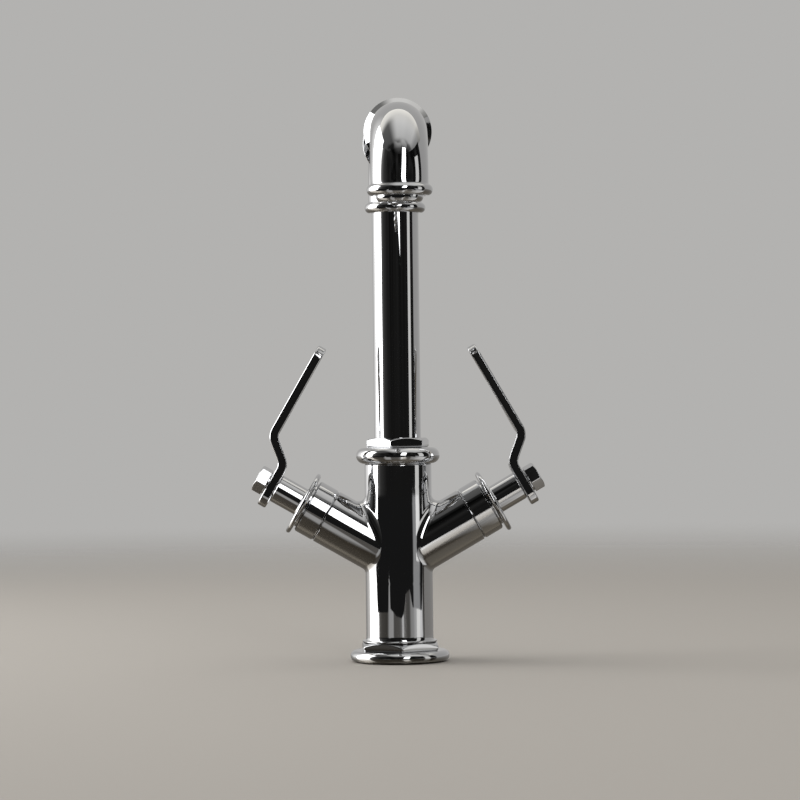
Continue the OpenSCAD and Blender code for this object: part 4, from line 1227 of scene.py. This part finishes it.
        # painted dark patches on the front of the ceiling
        patches = remap(tree, noise(tree, place, 1.1, 1.0), 0.42, 0.6, 0.0, 0.75, soft=True)
        painted_dark_patches = calculate(tree, "MULTIPLY", remap(tree, split["Y"], -0.5, -0.75, soft=True), patches)
        light = calculate(tree, "MULTIPLY", calculate(tree, "SUBTRACT", 1.0, left_front),
                          calculate(tree, "SUBTRACT", 1.0, painted_dark_patches))
        warmth = remap(tree, split["Y"], -0.2, 0.5, 0.3, 1.0, soft=True)
        tint = mix_colours(tree, warmth, mix_colours(tree, 1, depth, right, "MULTIPLY"),
                           (1, 0.97, 0.9, 1), "MULTIPLY")
        return tint, calculate(tree, "MULTIPLY", light, 1.87)

    def ceiling(self):
        """A pale ceiling that gives off light for polished metal to reflect; its brightness is painted
        light.
        """
        place = Matrix.Translation((0.1, -0.79, self.ceiling_z)) @ Matrix.Diagonal((2.85, 1.86, 1, 1))
        bm = bmesh.new()
        bmesh.ops.create_grid(bm, x_segments=1, y_segments=1, size=1, matrix=place)
        stage_card("Ceiling", bm, self.glowing("Ceiling", self.ceiling_light))

    def world(self, studio):
        """A plain backdrop and fill; polished metal sees a back wall with painted light that makes it
        brighter on the left.
        """
        world = bpy.data.worlds.new("Studio_world")
        bpy.context.scene.world = world
        world.use_nodes = True
        tree = world.node_tree
        tree.nodes.clear()

        def background(colour, strength):
            inputs = {"Color": (*colour, 1), "Strength": strength}
            return add_node(tree, "ShaderNodeBackground", inputs).outputs[0]

        path = tree.nodes.new("ShaderNodeLightPath").outputs
        direction = tree.nodes.new("ShaderNodeTexCoord").outputs["Generated"]
        across = add_node(tree, "ShaderNodeSeparateXYZ", {0: direction}).outputs["X"]
        # painted light on the back wall: brighter on the left, towards the lamp there
        wall = calculate(tree, "MULTIPLY", remap(tree, across, -0.4, -0.85, 1.0, 2.6, soft=True),
                         remap(tree, across, 0.3, 1.0, 0.49, 0.4))
        mirrored = mix_shaders(tree, path["Is Glossy Ray"], background((1, 1, 1), 0.42),
                               background((1, 0.985, 0.965), wall))
        seen = mix_shaders(tree, path["Is Camera Ray"], mirrored, background(studio.backdrop, 1.0))
        add_node(tree, "ShaderNodeOutputWorld", {"Surface": seen})

    def camera(self, studio):
        """The camera at the photograph's angle."""
        data = bpy.data.cameras.new("Camera")
        data.lens = studio.lens
        data.sensor_width = 36
        data.clip_start, data.clip_end = 0.05, 50
        camera = bpy.data.objects.new("Camera", data)
        bpy.context.scene.collection.objects.link(camera)
        spot = around(math.degrees(studio.azimuth), studio.distance, 0)
        across = Vector((math.cos(studio.azimuth), math.sin(studio.azimuth), 0))
        camera.location = spot + across * studio.sideways + Vector((0, 0, studio.height))
        camera.rotation_mode = "QUATERNION"
        level = (-spot).to_track_quat("-Z", "Y")
        camera.rotation_quaternion = level @ Matrix.Rotation(-studio.roll, 3, "Z").to_quaternion()
        bpy.context.scene.camera = camera

    def execute(self, context):
        studio = context.scene.faucet_studio
        context.scene.view_settings.view_transform = "Standard"
        self.floor(studio)
        self.dark_room()
        self.ceiling()
        self.world(studio)
        softbox("Softbox_left", 0.76, 1.05, around(-98.5, 0.9, 0.53), (0, 0, 0.53), 3.2)
        softbox("Strip_right", 0.24, 0.63, around(66.5, 0.92, 0.317), (0, 0, 0.317), 0.75,
                tint=(1, 0.99, 0.96))
        softbox("Strip_front", 0.42, 1.39, around(17, 1.62, 1.005), (0, 0, 1.005), 3.0, lean=-9)
        overhead = softbox("Softbox_top", 1.5, 1.5, (0, 0, 1.7), (0, 0, 0), 1.0)
        overhead.visible_glossy = False
        self.camera(studio)
        return {"FINISHED"}


class FAUCET_PT_pieces(bpy.types.Panel):
    """The faucet's pieces, in the order in which they are built"""

    bl_idname = "FAUCET_PT_pieces"
    bl_label = "Bar Faucet"
    bl_space_type = "VIEW_3D"
    bl_region_type = "UI"
    bl_category = "Faucet"

    def draw(self, context):
        for operator in OPERATORS:
            self.layout.operator(operator.bl_idname)


OPERATORS = (
    FAUCET_OT_inner_parts,
    FAUCET_OT_base,
    FAUCET_OT_body,
    FAUCET_OT_spout_joint,
    FAUCET_OT_bonnets,
    FAUCET_OT_hubs,
    FAUCET_OT_levers,
    FAUCET_OT_handle_screws,
    FAUCET_OT_tubes,
    FAUCET_OT_elbows,
    FAUCET_OT_outlet,
    FAUCET_OT_shank,
    FAUCET_OT_clamp,
    FAUCET_OT_studio,
)


def register():
    """Adds the faucet's settings, operators and panel to Blender."""
    for settings in SETTINGS.values():
        bpy.utils.register_class(settings)
    for name, settings in SETTINGS.items():
        setattr(bpy.types.Scene, name, PointerProperty(type=settings))
    for operator in OPERATORS:
        bpy.utils.register_class(operator)
    bpy.utils.register_class(FAUCET_PT_pieces)


def unregister():
    """Removes what register added."""
    bpy.utils.unregister_class(FAUCET_PT_pieces)
    for operator in reversed(OPERATORS):
        bpy.utils.unregister_class(operator)
    for name, settings in SETTINGS.items():
        delattr(bpy.types.Scene, name)
        bpy.utils.unregister_class(settings)


def main():
    """Builds every piece and the studio."""
    register()
    for operator in OPERATORS:
        group, name = operator.bl_idname.split(".")
        getattr(getattr(bpy.ops, group), name)()


if __name__ == "__main__":
    main()
